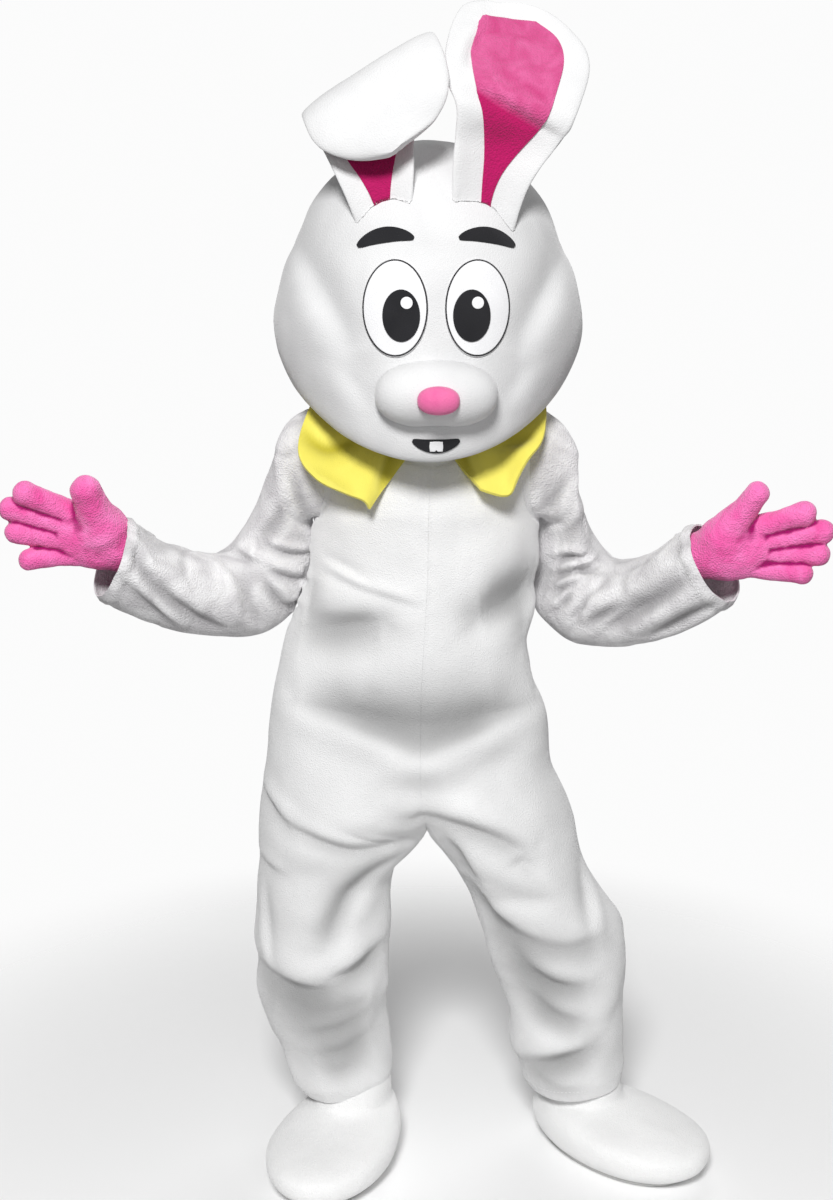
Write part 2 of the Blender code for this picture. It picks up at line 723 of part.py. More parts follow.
def head_shell(sheet, name, low, high, closed):
    """The head's skin between two heights over the plush, or all within the upper one if closed."""
    verts = list(sheet.mesh.verts)
    index = {v: i for i, v in enumerate(verts)}
    outside = [v.co + v.normal * high for v in verts]
    faces = [[index[v] for v in f.verts] for f in sheet.mesh.faces]
    rims = [
        (index[l.vert], index[l.link_loop_next.vert])
        for f in sheet.mesh.faces
        for l in f.loops
        if len(l.edge.link_faces) == 1
    ]
    if closed:
        after = dict((b, a) for a, b in rims)
        ring = [rims[0][0]]
        while after[ring[-1]] != ring[0]:
            ring.append(after[ring[-1]])
        return cutter(solid(name, outside, faces + [ring]))
    inside = [v.co + v.normal * low for v in verts]
    total = len(verts)
    faces += [[i + total for i in reversed(f)] for f in faces]
    faces += [[b, a, a + total, b + total] for a, b in rims]
    return solid(name, outside + inside, faces)


def prism(name, outline, far_y):
    """A front-to-back prism over an outline of (x, z) points."""
    rings = [[(x, y, z) for x, z in outline] for y in (FACE_FRONT_Y, far_y)]
    return cutter(loft(name, rings))


def oval(centre_x, centre_z, half_width, half_height, lean=0.0, count=20):
    points = []
    for i in range(count):
        turn = 2 * math.pi * i / count
        x, z = half_width * math.cos(turn), half_height * math.sin(turn)
        points.append(
            (
                centre_x + x * math.cos(lean) - z * math.sin(lean),
                centre_z + x * math.sin(lean) + z * math.cos(lean),
            )
        )
    return points


def arc_band(centre_x, centre_z, radius, start, end, half_height, count=7):
    """A band along an arc, rounded to nothing at its ends: a brow or a smile."""
    upper, lower = [], []
    for i in range(count + 1):
        t = i / count
        turn = math.radians(start + (end - start) * t)
        swell = half_height * (0.35 + 0.65 * math.sin(math.pi * t))
        for line, r in ((upper, radius + swell), (lower, radius - swell)):
            line.append((centre_x + r * math.cos(turn), centre_z + r * math.sin(turn)))
    return upper + lower[::-1]


def inlay(sheet, name, outline, level, thickness, made_of, far_y=FACE_BACK_Y):
    """A felt piece laid on the face: the head's skin inside an outline, in front of far_y."""
    piece = head_shell(sheet, name, level, level + thickness, closed=False)
    boolean(piece, "INTERSECT", prism(f"{name}_outline", outline, far_y))
    baked(piece)
    piece.data.materials.clear()
    piece.data.materials.append(made_of)
    return piece


EYE = SimpleNamespace(x=0.066, z=0.214, half_width=0.053, half_height=0.078)
PUPIL = SimpleNamespace(x=0.056, z=0.202, half_width=0.030, half_height=0.041)
BROW = SimpleNamespace(x=0.070, z=0.236, radius=0.094, start=60, end=120, half_height=0.0125)
MOUTH = SimpleNamespace(z=0.070, radius=0.078, start=240, end=300, half_height=0.0090)
TEETH = SimpleNamespace(half_width=0.011, top=0.000, low=-0.020)


def face_pieces(sheet, felt_white, felt_black):
    second = LAID_GAP + FELT + LAID_GAP
    for side, sign in SIDES.items():
        x = FACE_X + sign * EYE.x
        inlay(sheet, f"eye_{side}", oval(x, EYE.z, EYE.half_width, EYE.half_height), LAID_GAP, FELT, felt_white)
        x = FACE_X + sign * PUPIL.x
        outline = oval(x, PUPIL.z, PUPIL.half_width, PUPIL.half_height, count=16)
        inlay(sheet, f"pupil_{side}", outline, second, FELT, felt_black)
        lean = -sign * 8
        outline = arc_band(
            FACE_X + sign * BROW.x, BROW.z, BROW.radius, BROW.start + lean, BROW.end + lean, BROW.half_height
        )
        inlay(sheet, f"brow_{side}", outline, LAID_GAP, FELT, felt_black)
    outline = arc_band(FACE_X, MOUTH.z, MOUTH.radius, MOUTH.start, MOUTH.end, MOUTH.half_height, count=9)
    inlay(sheet, "mouth", outline, LAID_GAP, FELT, felt_black, CHIN_Y)
    x, w = FACE_X, TEETH.half_width
    outline = [(x - w, TEETH.top), (x - w, TEETH.low + 0.004), (x - w + 0.003, TEETH.low)]
    outline += [(x - 0.002, TEETH.low), (x, TEETH.low + 0.003), (x + 0.002, TEETH.low)]
    outline += [(x + w - 0.003, TEETH.low), (x + w, TEETH.low + 0.004), (x + w, TEETH.top)]
    inlay(sheet, "teeth", outline, second, FELT, felt_white, CHIN_Y)


MUZZLE = SimpleNamespace(centre=(FACE_X, -0.232, 0.076), half=(0.100, 0.060, 0.056), dip=0.10)
NOSE = SimpleNamespace(centre=(FACE_X + 0.003, -0.290, 0.071), half=(0.034, 0.020, 0.023))


def pad(name, place, swell=0.0, rows=9, columns=18, dip=0.0, made_of=None):
    """A stuffed oval pad, its poles at its two sides, with a shallow dip between two cheeks."""
    rings = []
    for r in range(1, rows):
        lean = math.pi * r / rows
        ring = []
        for c in range(columns):
            turn = 2 * math.pi * c / columns
            size = 1.0 - dip * math.exp(-((math.cos(lean) / 0.35) ** 2)) * (1 - math.sin(turn)) / 2
            x = -(place.half[0] + swell) * math.cos(lean)
            y = (place.half[1] + swell) * math.sin(lean) ** 0.8 * math.cos(turn) * size
            z = (place.half[2] + swell) * math.sin(lean) ** 0.8 * math.sin(turn) * size
            ring.append((place.centre[0] + x, place.centre[1] + y, place.centre[2] + z))
        rings.append(ring)
    return loft(name, rings, made_of)


# ---------------------------------------------------------------------------- ears
# Sections across each ear from its root (0) to its tip (1): its two side edges and how far the
# lining covers it. The right ear folds forward over itself; the left ear leans forward, then back.
EAR = {
    "right": Sections(
        "along outer_x outer_y outer_z inner_x inner_y inner_z cup lining",
        (0.00, -0.106, -0.156, 0.320, -0.028, -0.172, 0.350, 0.010, 0.10),
        (0.14, -0.136, -0.160, 0.392, -0.024, -0.168, 0.415, 0.016, 0.34),
        (0.30, -0.167, -0.144, 0.454, -0.022, -0.148, 0.484, 0.020, 0.62),
        (0.42, -0.191, -0.122, 0.498, -0.014, -0.122, 0.578, 0.016, 0.62),
        (0.50, -0.207, -0.124, 0.522, -0.002, -0.122, 0.648, 0.004, 0.60),
        (0.58, -0.203, -0.158, 0.512, 0.014, -0.160, 0.634, 0.004, 0.60),
        (0.70, -0.184, -0.186, 0.474, 0.030, -0.196, 0.574, 0.006, 0.60),
        (0.84, -0.138, -0.202, 0.450, 0.018, -0.212, 0.520, 0.006, 0.55),
        (0.95, -0.090, -0.208, 0.446, -0.014, -0.216, 0.484, 0.004, 0.40),
        (1.00, -0.066, -0.210, 0.450, -0.036, -0.216, 0.470, 0.002, 0.20),
    ),
    "left": Sections(
        "along outer_x outer_y outer_z inner_x inner_y inner_z cup lining",
        (0.00, 0.134, -0.150, 0.320, 0.038, -0.168, 0.340, 0.010, 0.10),
        (0.16, 0.158, -0.156, 0.400, 0.037, -0.168, 0.418, 0.018, 0.18),
        (0.34, 0.202, -0.160, 0.466, 0.043, -0.166, 0.490, 0.022, 0.42),
        (0.46, 0.230, -0.172, 0.506, 0.043, -0.178, 0.532, 0.010, 0.56),
        (0.56, 0.248, -0.162, 0.548, 0.028, -0.168, 0.570, 0.006, 0.60),
        (0.70, 0.258, -0.132, 0.598, 0.027, -0.136, 0.620, 0.010, 0.64),
        (0.84, 0.238, -0.100, 0.644, 0.040, -0.102, 0.668, 0.012, 0.64),
        (0.95, 0.194, -0.080, 0.681, 0.062, -0.080, 0.697, 0.010, 0.56),
        (1.00, 0.164, -0.074, 0.692, 0.084, -0.074, 0.701, 0.006, 0.34),
    ),
}
EAR_ROWS = 16
EAR_SPREAD = (-1.0, -0.92, -0.66, -0.33, 0.0, 0.33, 0.66, 0.92, 1.0)
LINING_SPREAD = (-1.0, -0.5, 0.0, 0.5, 1.0)


def ear_frames(side):
    """For each section of an ear: its middle, half width, forward direction and table row."""
    stations = np.linspace(0.0, 1.0, EAR_ROWS)
    cuts = [EAR[side].at(s) for s in stations]
    outers = [Vector((c.outer_x, c.outer_y, c.outer_z)) for c in cuts]
    inners = [Vector((c.inner_x, c.inner_y, c.inner_z)) for c in cuts]
    middles = [(a + b) / 2 for a, b in zip(outers, inners)]
    frames = []
    facing = Vector((0, -1, 0))
    for i, cut in enumerate(cuts):
        run = middles[min(i + 1, EAR_ROWS - 1)] - middles[max(i - 1, 0)]
        half = (outers[i] - inners[i]) / 2
        fore = half.cross(run).normalized()
        fore = fore if fore.dot(facing) > 0 else -fore
        facing = fore
        frames.append((middles[i], half, fore, cut))
    return frames


def ear_face(frame, share, face):
    """A point across an ear's section; share runs -1..1 and face is 1 in front, -1 behind."""
    middle, half, fore, cut = frame
    round_off = math.sqrt(max(0.0, 1 - abs(share) ** 5))
    cupping = -cut.cup * (1 - share**2) + cut.cup / 2
    return middle + half * share + fore * (cupping + face * EAR_THICKNESS / 2 * round_off)


def ear(side, head_cutter, plush, pink):
    frames = ear_frames(side)
    rings = []
    for frame in frames:
        ring = [ear_face(frame, s, 1) for s in EAR_SPREAD[:-1]]
        ring += [ear_face(frame, s, -1) for s in reversed(EAR_SPREAD[1:])]
        rings.append(ring)
    body = loft(f"ear_{side}", rings, plush)
    boolean(body, "DIFFERENCE", head_cutter)
    baked(body)
    grid = []
    normals = []
    knots = np.array(EAR_SPREAD)
    for frame in frames[1:-1]:
        _, _, fore, cut = frame
        points = np.array([ear_face(frame, s, 1) for s in EAR_SPREAD])
        shares = [s * cut.lining for s in LINING_SPREAD]
        line = [Vector([np.interp(s, knots, points[:, k]) for k in range(3)]) for s in shares]
        grid.append(line)
        normals.append([fore] * len(line))
    lining = slab(f"ear_lining_{side}", grid, LAID_GAP * 2, FELT, normals, pink)
    boolean(lining, "DIFFERENCE", head_cutter)
    baked(lining)


# ---------------------------------------------------------------------------- gloves
# Hand axes: along toward the fingers, up toward the thumb side, out of the palm. Each finger runs
# from its root to the centre of its tip.
Finger = namedtuple("Finger", "name root_along root_up tip_along tip_up tip_out radius")
HANDS = {
    "right": SimpleNamespace(
        wrist=(-0.548, -0.092, -0.1948),
        forearm=(-0.754, -0.371, 0.400),
        along=(-0.955, -0.20, 0.275),
        up=(0.20, -0.10, 0.97),
        fingers=(
            Finger("thumb", 0.038, 0.031, 0.083, 0.088, 0.031, 0.0262),
            Finger("index", 0.085, 0.040, 0.180, 0.058, 0.014, 0.0195),
            Finger("middle", 0.090, 0.014, 0.190, 0.022, 0.006, 0.0195),
            Finger("ring", 0.085, -0.012, 0.171, -0.016, 0.012, 0.0190),
            Finger("little", 0.052, -0.034, 0.133, -0.056, 0.018, 0.0180),
        ),
    ),
    "left": SimpleNamespace(
        wrist=(0.487, -0.132, -0.2031),
        forearm=(0.655, -0.506, 0.222),
        along=(0.955, -0.22, 0.15),
        up=(-0.16, -0.04, 0.985),
        fingers=(
            Finger("thumb", 0.030, 0.032, 0.088, 0.094, 0.022, 0.0240),
            Finger("index", 0.085, 0.038, 0.176, 0.057, 0.012, 0.0195),
            Finger("middle", 0.095, 0.012, 0.194, 0.019, 0.006, 0.0195),
            Finger("ring", 0.090, -0.012, 0.182, -0.019, 0.010, 0.0190),
            Finger("little", 0.060, -0.032, 0.146, -0.049, 0.016, 0.0180),
        ),
    ),
}
# Sections of the palm and wrist, along the hand.
PALM = Sections(
    "along half_up half_out shift_up",
    (-0.050, 0.0400, 0.037, 0.0),
    (-0.015, 0.0435, 0.037, 0.0),
    (0.022, 0.053, 0.034, 0.0),
    (0.055, 0.055, 0.030, 0.002),
    (0.090, 0.048, 0.024, 0.004),
    (0.110, 0.034, 0.015, 0.004),
)
PALM_ROWS = 7
PALM_SIDES = 12
FINGER_SIDES = 8


def hand_axes(hand):
    along = Vector(hand.along).normalized()
    up = Vector(hand.up)
    up = (up - along * up.dot(along)).normalized()
    out = along.cross(up)
    out = out if out.y < 0 else -out
    return Vector(hand.wrist), along, up, out


def palm_body(name, hand, inset):
    wrist, along, up, out = hand_axes(hand)
    forearm = Vector(hand.forearm).normalized()
    start = PALM.knots[0] - (0.01 if inset else 0.0)
    stations = np.linspace(start, PALM.knots[-1] - inset, PALM_ROWS + 1)
    rings = []
    for s in stations:
        cut = PALM.at(s)
        ring = []
        for k in range(PALM_SIDES):
            turn = 2 * math.pi * k / PALM_SIDES
            rise = up * ((cut.half_up - inset) * math.cos(turn) + cut.shift_up)
            middle = wrist + (along if s > 0 else forearm) * s
            ring.append(middle + rise + out * (cut.half_out - inset) * math.sin(turn))
        rings.append(ring)
    return loft(name, rings)


def finger_body(name, hand, finger, inset):
    wrist, along, up, out = hand_axes(hand)
    root = wrist + along * finger.root_along + up * finger.root_up
    tip = wrist + along * finger.tip_along + up * finger.tip_up + out * finger.tip_out
    run = (tip - root).normalized()
    side = run.cross(out).normalized()
    top = side.cross(run)
    radius = finger.radius - inset
    length = (tip - root).length
    stations = [(s * length, radius * (1.06 - 0.10 * s)) for s in (0.0, 0.5, 1.0)]
    end = radius * 0.96
    for lean in (42, 76):
        a = math.radians(lean)
        stations.append((length + end * math.sin(a), end * math.cos(a)))
    rings = []
    for s, r in stations:
        turns = [2 * math.pi * (k + 0.5) / FINGER_SIDES for k in range(FINGER_SIDES)]
        rings.append([root + run * s + side * r * math.cos(t) + top * r * math.sin(t) for t in turns])
    return loft(name, rings)


def fused_hand(name, hand, inset):
    """Palm and fingers joined into one body, all drawn in by inset."""
    body = palm_body(name, hand, inset)
    for finger in hand.fingers:
        part = finger_body(f"{name}_{finger.name}", hand, finger, inset)
        boolean(body, "UNION", part)
        baked(body)
        bpy.data.objects.remove(part)
    return body


def glove(side, pink):
    hand = HANDS[side]
    hollow = cutter(fused_hand(f"glove_{side}_hollow", hand, GLOVE_WALL))
    body = fused_hand(f"glove_{side}", hand, 0.0)
    boolean(body, "DIFFERENCE", hollow)
    baked(body)
    body.data.materials.clear()
    body.data.materials.append(pink)
    body.data.shade_smooth()
    body.data.set_sharp_from_angle(angle=math.radians(40))
    return body


# ---------------------------------------------------------------------------- shoes
SHOE = Sections(
    "height toe heel half_width swell",
    (0.0083, 0.238, 0.074, 0.087, 0.12),
    (0.026, 0.268, 0.092, 0.107, 0.12),
    (0.050, 0.277, 0.101, 0.114, 0.12),
    (0.070, 0.268, 0.099, 0.112, 0.10),
    (0.083, 0.216, 0.094, 0.099, 0.05),
    (0.091, 0.140, 0.088, 0.086, 0.0),
    (0.099, 0.096, 0.080, 0.077, 0.0),
    (0.112, 0.082, 0.076, 0.074, 0.0),
    (0.146, 0.076, 0.073, 0.072, 0.0),
    (0.200, 0.067, 0.065, 0.060, 0.0),
)
SHOES = {
    "right": SimpleNamespace(ankle=(-0.1419, -0.0035), turn=math.radians(-18)),
    "left": SimpleNamespace(ankle=(0.2998, 0.012), turn=math.radians(48)),
}
SHOE_SIDES = 18


def shoe_ring(side, height, inset):
    """An egg-shaped ring, widest toward the toe; turn 0 of the shoe points to the front."""
    shoe = SHOES[side]
    cut = SHOE.at(height)
    centre = (cut.toe - cut.heel) / 2
    reach = (cut.toe + cut.heel) / 2 - inset
    ring = []
    for k in range(SHOE_SIDES):
        a = 2 * math.pi * k / SHOE_SIDES
        along = centre + reach * math.cos(a)
        across = (cut.half_width - inset) * math.sin(a) * (1 + cut.swell * math.cos(a))
        x = shoe.ankle[0] + along * math.sin(shoe.turn) + across * math.cos(shoe.turn)
        y = shoe.ankle[1] - along * math.cos(shoe.turn) + across * math.sin(shoe.turn)
        ring.append((x, y, FLOOR_Z + height))
    return ring


def shoe(side, plush, rubber):
    heights = SHOE.knots
    rows = len(heights) - 1
    outer = [shoe_ring(side, h, 0.0) for h in heights]
    inner = [shoe_ring(side, h, SHOE_WALL) for h in heights]
    points = [p for ring in outer + inner for p in ring]
    half = len(points) // 2
    faces = []
    for k in range(SHOE_SIDES):
        j = (k + 1) % SHOE_SIDES
        for r in range(rows):
            a, b = r * SHOE_SIDES, (r + 1) * SHOE_SIDES
            faces.append([a + k, a + j, b + j, b + k])
            faces.append([half + a + k, half + b + k, half + b + j, half + a + j])
        faces.append([k, half + k, half + j, j])
        top = rows * SHOE_SIDES
        faces.append([top + k, top + j, half + top + j, half + top + k])
    solid(f"shoe_upper_{side}", points, faces, plush)
    low = [(x, y, FLOOR_Z) for x, y, _ in shoe_ring(side, SOLE_THICKNESS, 0.001)]
    high = [(x, y, FLOOR_Z + SOLE_THICKNESS) for x, y, _ in low]
    loft(f"shoe_sole_{side}", [low, high], rubber)


# ---------------------------------------------------------------------------- the costume
def build():
    for thing in list(bpy.data.objects):
        bpy.data.objects.remove(thing)
    plush = material("white_plush", (0.86, 0.86, 0.85))
    sleeve_plush = material("sleeve_plush", (0.80, 0.79, 0.79))
    yellow = material("yellow_felt", (0.90, 0.80, 0.12))
    pink = material("pink_plush", (0.85, 0.20, 0.48))
    nose_pink = material("nose_pink", (0.80, 0.16, 0.40))
    felt_white = material("white_felt", (0.88, 0.88, 0.88))
    felt_black = material("black_felt", (0.012, 0.012, 0.014))
    rubber = material("sole_rubber", (0.55, 0.55, 0.54), roughness=0.7)

    suit = Sheet()
    body_panels(suit)
    sleeve_panels(suit)
    suit.finish()
    suit.push(fold_height)
    for side in SIDES:
        wall(suit, f"suit_front_{side}", CLOTH, plush)
        wall(suit, f"suit_back_{side}", CLOTH, plush)
        wall(suit, f"sleeve_{side}", CLOTH, sleeve_plush)
        collar_wing(side, suit.tree(), yellow)
        glove(side, pink)
        shoe(side, plush, rubber)
    placket(suit, plush)

    head = head_sheet()
    wall(head, "head", HEAD_WALL, plush)
    head_cutter = head_shell(head, "head_cutter", 0.0, LAID_GAP, closed=True)
    face_pieces(head, felt_white, felt_black)
    muzzle = pad("muzzle", MUZZLE, dip=MUZZLE.dip, rows=12, made_of=plush)
    boolean(muzzle, "DIFFERENCE", head_cutter)
    baked(muzzle)
    muzzle_cutter = cutter(pad("muzzle_cutter", MUZZLE, swell=LAID_GAP, dip=MUZZLE.dip, rows=12))
    nose = pad("nose", NOSE, rows=8, columns=14, made_of=nose_pink)
    boolean(nose, "DIFFERENCE", muzzle_cutter)
    baked(nose)
    for side in SIDES:
        ear(side, head_cutter, plush, pink)


build()
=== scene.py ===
# %% [markdown]
# # A rabbit mascot costume, worn
# The costume hangs hollow, as if someone stood in it: a plush suit, a felt collar, a foam head with
# two ears, gloves and shoes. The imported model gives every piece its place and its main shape. This
# file gives each piece its cloth: folds, seams, nap and stitching.
# We start by loading that model and keeping its size, because nothing here may outgrow it.

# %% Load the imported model
import math
from collections import namedtuple

import bmesh
import bpy
import numpy as np
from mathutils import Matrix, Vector, noise
from mathutils.bvhtree import BVHTree
from mathutils.kdtree import KDTree


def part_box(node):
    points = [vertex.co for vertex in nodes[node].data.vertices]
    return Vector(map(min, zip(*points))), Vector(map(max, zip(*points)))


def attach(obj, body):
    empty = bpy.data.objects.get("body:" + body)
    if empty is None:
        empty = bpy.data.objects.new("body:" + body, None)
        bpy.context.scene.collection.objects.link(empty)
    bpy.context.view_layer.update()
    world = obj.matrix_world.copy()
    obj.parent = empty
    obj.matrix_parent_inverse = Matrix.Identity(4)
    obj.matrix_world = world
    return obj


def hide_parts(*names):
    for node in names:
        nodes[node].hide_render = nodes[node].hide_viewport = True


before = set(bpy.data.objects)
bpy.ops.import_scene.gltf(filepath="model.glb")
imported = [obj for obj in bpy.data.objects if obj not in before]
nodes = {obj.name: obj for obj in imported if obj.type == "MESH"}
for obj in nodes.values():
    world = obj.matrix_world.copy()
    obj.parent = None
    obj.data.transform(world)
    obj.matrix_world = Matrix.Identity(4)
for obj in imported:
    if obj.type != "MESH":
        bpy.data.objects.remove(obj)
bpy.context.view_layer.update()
FLOOR_Z = min(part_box(name)[0].z for name in nodes)
CLOTH = 0.003            # thickness of the suit's cloth, in metres
SEAM_GAP = 0.0003        # left open at a seam
LAID_GAP = 0.0006        # left below a piece that lies on another
print("pieces in the packed model:", len(nodes), "floor at", round(FLOOR_Z, 3))

# %% [markdown]
# ## Plain helpers for finishes
# A finish is a Principled shader with a few texture nodes in front of it. These helpers keep the
# node wiring short. A number that is the same all over a piece is set straight on the shader.

# %% Node helpers
def wire(tree, kind, inputs=None, **settings):
    """Adds a node, sets its properties, and fills its inputs with values or links."""
    node = tree.nodes.new(kind)
    for key, value in settings.items():
        setattr(node, key, value)
    for key, value in (inputs or {}).items():
        if isinstance(value, bpy.types.NodeSocket):
            tree.links.new(value, node.inputs[key])
        else:
            node.inputs[key].default_value = value
    return node


def new_group(name, sockets_in, sockets_out):
    """An empty shader group with float inputs and the named outputs."""
    group = bpy.data.node_groups.new(name, "ShaderNodeTree")
    for label, value in sockets_in.items():
        socket = group.interface.new_socket(label, in_out="INPUT", socket_type="NodeSocketFloat")
        socket.default_value = value
    for label in sockets_out:
        group.interface.new_socket(label, in_out="OUTPUT", socket_type="NodeSocketFloat")
    return group, group.nodes.new("NodeGroupInput"), group.nodes.new("NodeGroupOutput")


# %% [markdown]
# ## Camera and light
# The camera stands a little above the chest and looks down twelve degrees. White plush shows its
# folds only by shading, so the main lamp is broad but stands high, and little light comes from all
# round. A camera ray that meets nothing sees a nearly white room, as with a lit paper backdrop.

# %% Camera and light
ROOM_LIGHT, ROOM_SEEN = 0.20, 0.97
CAMERA_PLACE, CAMERA_TILT = (-0.02, -2.84, 0.29), 78.0    # metres; degrees up from straight down
LENS, SENSOR = 48.0, 36.0                                 # millimetres
Lamp = namedtuple("Lamp", "name place size power aim")
LAMPS = (
    Lamp("key", (-0.5, -4.5, 3.1), 1.4, 300.0, (0.0, 0.0, -0.35)),
    Lamp("fill", (0.9, -3.6, 0.2), 1.6, 14.0, (0.0, 0.0, -0.6)),
    Lamp("back", (0.6, 2.4, 1.9), 2.0, 26.0, (0.0, 0.0, -0.2)),
)


def add_lamp(lamp):
    light = bpy.data.lights.new(lamp.name, "AREA")
    light.shape = "DISK"
    light.size = lamp.size
    light.energy = lamp.power
    thing = bpy.data.objects.new(lamp.name, light)
    thing.location = lamp.place
    thing.rotation_euler = (Vector(lamp.aim) - Vector(lamp.place)).to_track_quat("-Z", "Y").to_euler()
    bpy.context.scene.collection.objects.link(thing)


def set_stage():
    scene = bpy.context.scene
    eye = bpy.data.cameras.new("camera")
    eye.lens, eye.sensor_width = LENS, SENSOR
    camera = bpy.data.objects.new("camera", eye)
    camera.location = CAMERA_PLACE
    camera.rotation_euler = (math.radians(CAMERA_TILT), 0.0, 0.0)
    scene.collection.objects.link(camera)
    scene.camera = camera
    world = bpy.data.worlds.new("pale room")
    world.use_nodes = True
    room = world.node_tree
    seen = wire(room, "ShaderNodeLightPath").outputs["Is Camera Ray"]
    strength = wire(room, "ShaderNodeMapRange", {"Value": seen, "To Min": ROOM_LIGHT, "To Max": ROOM_SEEN})
    room.nodes["Background"].inputs["Color"].default_value = (1.0, 1.0, 1.0, 1.0)
    room.links.new(strength.outputs[0], room.nodes["Background"].inputs["Strength"])
    scene.world = world
    scene.view_settings.view_transform = "Standard"
    for lamp in LAMPS:
        add_lamp(lamp)


set_stage()

# %% [markdown]
# ## The nap of plush
# Short plush never looks even. Its pile is brushed one way here and another way there, so it
# catches the light in soft patches, and up close it is a mat of tiny tufts. One shader group makes
# both: a mask of brushed patches and a height of tufts. Every plush piece uses it at its own scale.

# %% Shader group: nap
def make_nap():
    group, given, result = new_group(
        "Nap", {"Patch scale": 9.0, "Tuft scale": 420.0, "Contrast": 1.0}, ("Patches", "Tufts")
    )
    place = wire(group, "ShaderNodeTexCoord").outputs["Object"]
    broad = wire(
        group,
        "ShaderNodeTexNoise",
        {"Vector": place, "Scale": given.outputs["Patch scale"], "Detail": 5.0, "Distortion": 0.9},
    )
    centred = wire(group, "ShaderNodeMath", {0: broad.outputs[0], 1: 0.5}, operation="SUBTRACT")
    spread = wire(
        group, "ShaderNodeMath", {0: centred.outputs[0], 1: given.outputs["Contrast"]}, operation="MULTIPLY"
    )
    patches = wire(group, "ShaderNodeMath", {0: spread.outputs[0], 1: 0.5}, operation="ADD", use_clamp=True)
    tufts = wire(
        group,
        "ShaderNodeTexVoronoi",
        {"Vector": place, "Scale": given.outputs["Tuft scale"], "Randomness": 1.0},
    )
    fluff = wire(
        group, "ShaderNodeTexNoise", {"Vector": place, "Scale": given.outputs["Tuft scale"], "Detail": 3.0}
    )
    height = wire(
        group, "ShaderNodeMath", {0: tufts.outputs["Distance"], 1: fluff.outputs[0]}, operation="ADD"
    )
    group.links.new(patches.outputs[0], result.inputs["Patches"])
    group.links.new(height.outputs[0], result.inputs["Tufts"])
    return group


NAP = make_nap()


# %% [markdown]
# ## Plush finishes
# Plush is matt, with a faint bright edge where the pile stands up to the light. That edge is sheen.
# The nap mask mixes two close colours, and the tufts become a shallow bump. Where a mesh carries a
# "crease" attribute, a third, darker colour comes in: painted shade in creases and hollows.

# %% Plush finishes
ROUGH_FLAT, ROUGH_BRUSHED = 0.82, 0.98
BUMP_STRENGTH, SHEEN_ROUGHNESS, SHINE = 0.7, 0.45, 0.15
# a crease's colour is painted shade
PAINTED_SHADE_SHARE = 0.55        # a crease's colour, as a share of the shaded one, where none is given


def plush(
    name, bright, shaded, patch_scale, contrast, tuft_scale=420.0, depth=0.0012, sheen=0.35, deep=None
):
    """Plush in two close colours, patch by patch, and a third, darker one painted as shade into its creases.
    """
    made = bpy.data.materials.new(name)
    made.use_nodes = True
    tree = made.node_tree
    shader = tree.nodes["Principled BSDF"]
    nap = wire(tree, "ShaderNodeGroup", node_tree=NAP)
    nap.inputs["Patch scale"].default_value = patch_scale
    nap.inputs["Tuft scale"].default_value = tuft_scale
    nap.inputs["Contrast"].default_value = contrast
    colour = wire(
        tree,
        "ShaderNodeMix",
        {0: nap.outputs["Patches"], 6: (*bright, 1.0), 7: (*shaded, 1.0)},
        data_type="RGBA",
    )
    # painted shade: the mesh's "crease" attribute mixes in the darker colour
    hollow = wire(tree, "ShaderNodeAttribute", attribute_name="crease").outputs["Fac"]
    deep = deep or [PAINTED_SHADE_SHARE * c for c in shaded]
    colour = wire(
        tree, "ShaderNodeMix", {0: hollow, 6: colour.outputs[2], 7: (*deep, 1.0)}, data_type="RGBA"
    )
    bump = wire(
        tree, "ShaderNodeBump", {"Height": nap.outputs["Tufts"], "Distance": depth, "Strength": BUMP_STRENGTH}
    )
    rough = wire(
        tree,
        "ShaderNodeMapRange",
        {"Value": nap.outputs["Patches"], "To Min": ROUGH_FLAT, "To Max": ROUGH_BRUSHED},
    )
    tree.links.new(colour.outputs[2], shader.inputs["Base Color"])
    tree.links.new(rough.outputs[0], shader.inputs["Roughness"])
    tree.links.new(bump.outputs[0], shader.inputs["Normal"])
    shader.inputs["Sheen Weight"].default_value = sheen
    shader.inputs["Sheen Roughness"].default_value = SHEEN_ROUGHNESS
    shader.inputs["Specular IOR Level"].default_value = SHINE
    made.diffuse_color = (*bright, 1.0)
    return made


# colours of painted shade for creases, hollows and the shadowed ear lining
WHITE_PAINTED_SHADE = (0.27, 0.27, 0.27)
GLOVE_PAINTED_SHADE = (0.36, 0.003, 0.13)
LINING_PAINTED_SHADE = (0.44, 0.008, 0.11)
FELT_PAINTED_SHADE = (0.42, 0.36, 0.01)
white_plush = plush("white_plush", (0.88, 0.88, 0.882), (0.74, 0.74, 0.742), 4.5, 1.7, deep=WHITE_PAINTED_SHADE)
sleeve_plush = plush("sleeve_plush", (0.87, 0.862, 0.87), (0.60, 0.585, 0.60), 20.0, 2.6, 300.0, 0.0020)
head_plush = plush("head_plush", (0.77, 0.77, 0.772), (0.67, 0.67, 0.675), 7.0, 1.8, 420.0, 0.0007)
shoe_plush = plush("shoe_plush", (0.92, 0.92, 0.918), (0.86, 0.86, 0.858), 7.0, 1.6)
pink_plush = plush(
    "pink_plush", (0.98, 0.23, 0.56), (0.86, 0.11, 0.39), 22.0, 2.8, 330.0, 0.0026, 0.35, GLOVE_PAINTED_SHADE
)
lining_plush = plush(
    "lining_plush", (0.68, 0.125, 0.32), (0.54, 0.055, 0.20), 24.0, 2.2, 300.0, 0.0022, 0.35, LINING_PAINTED_SHADE
)
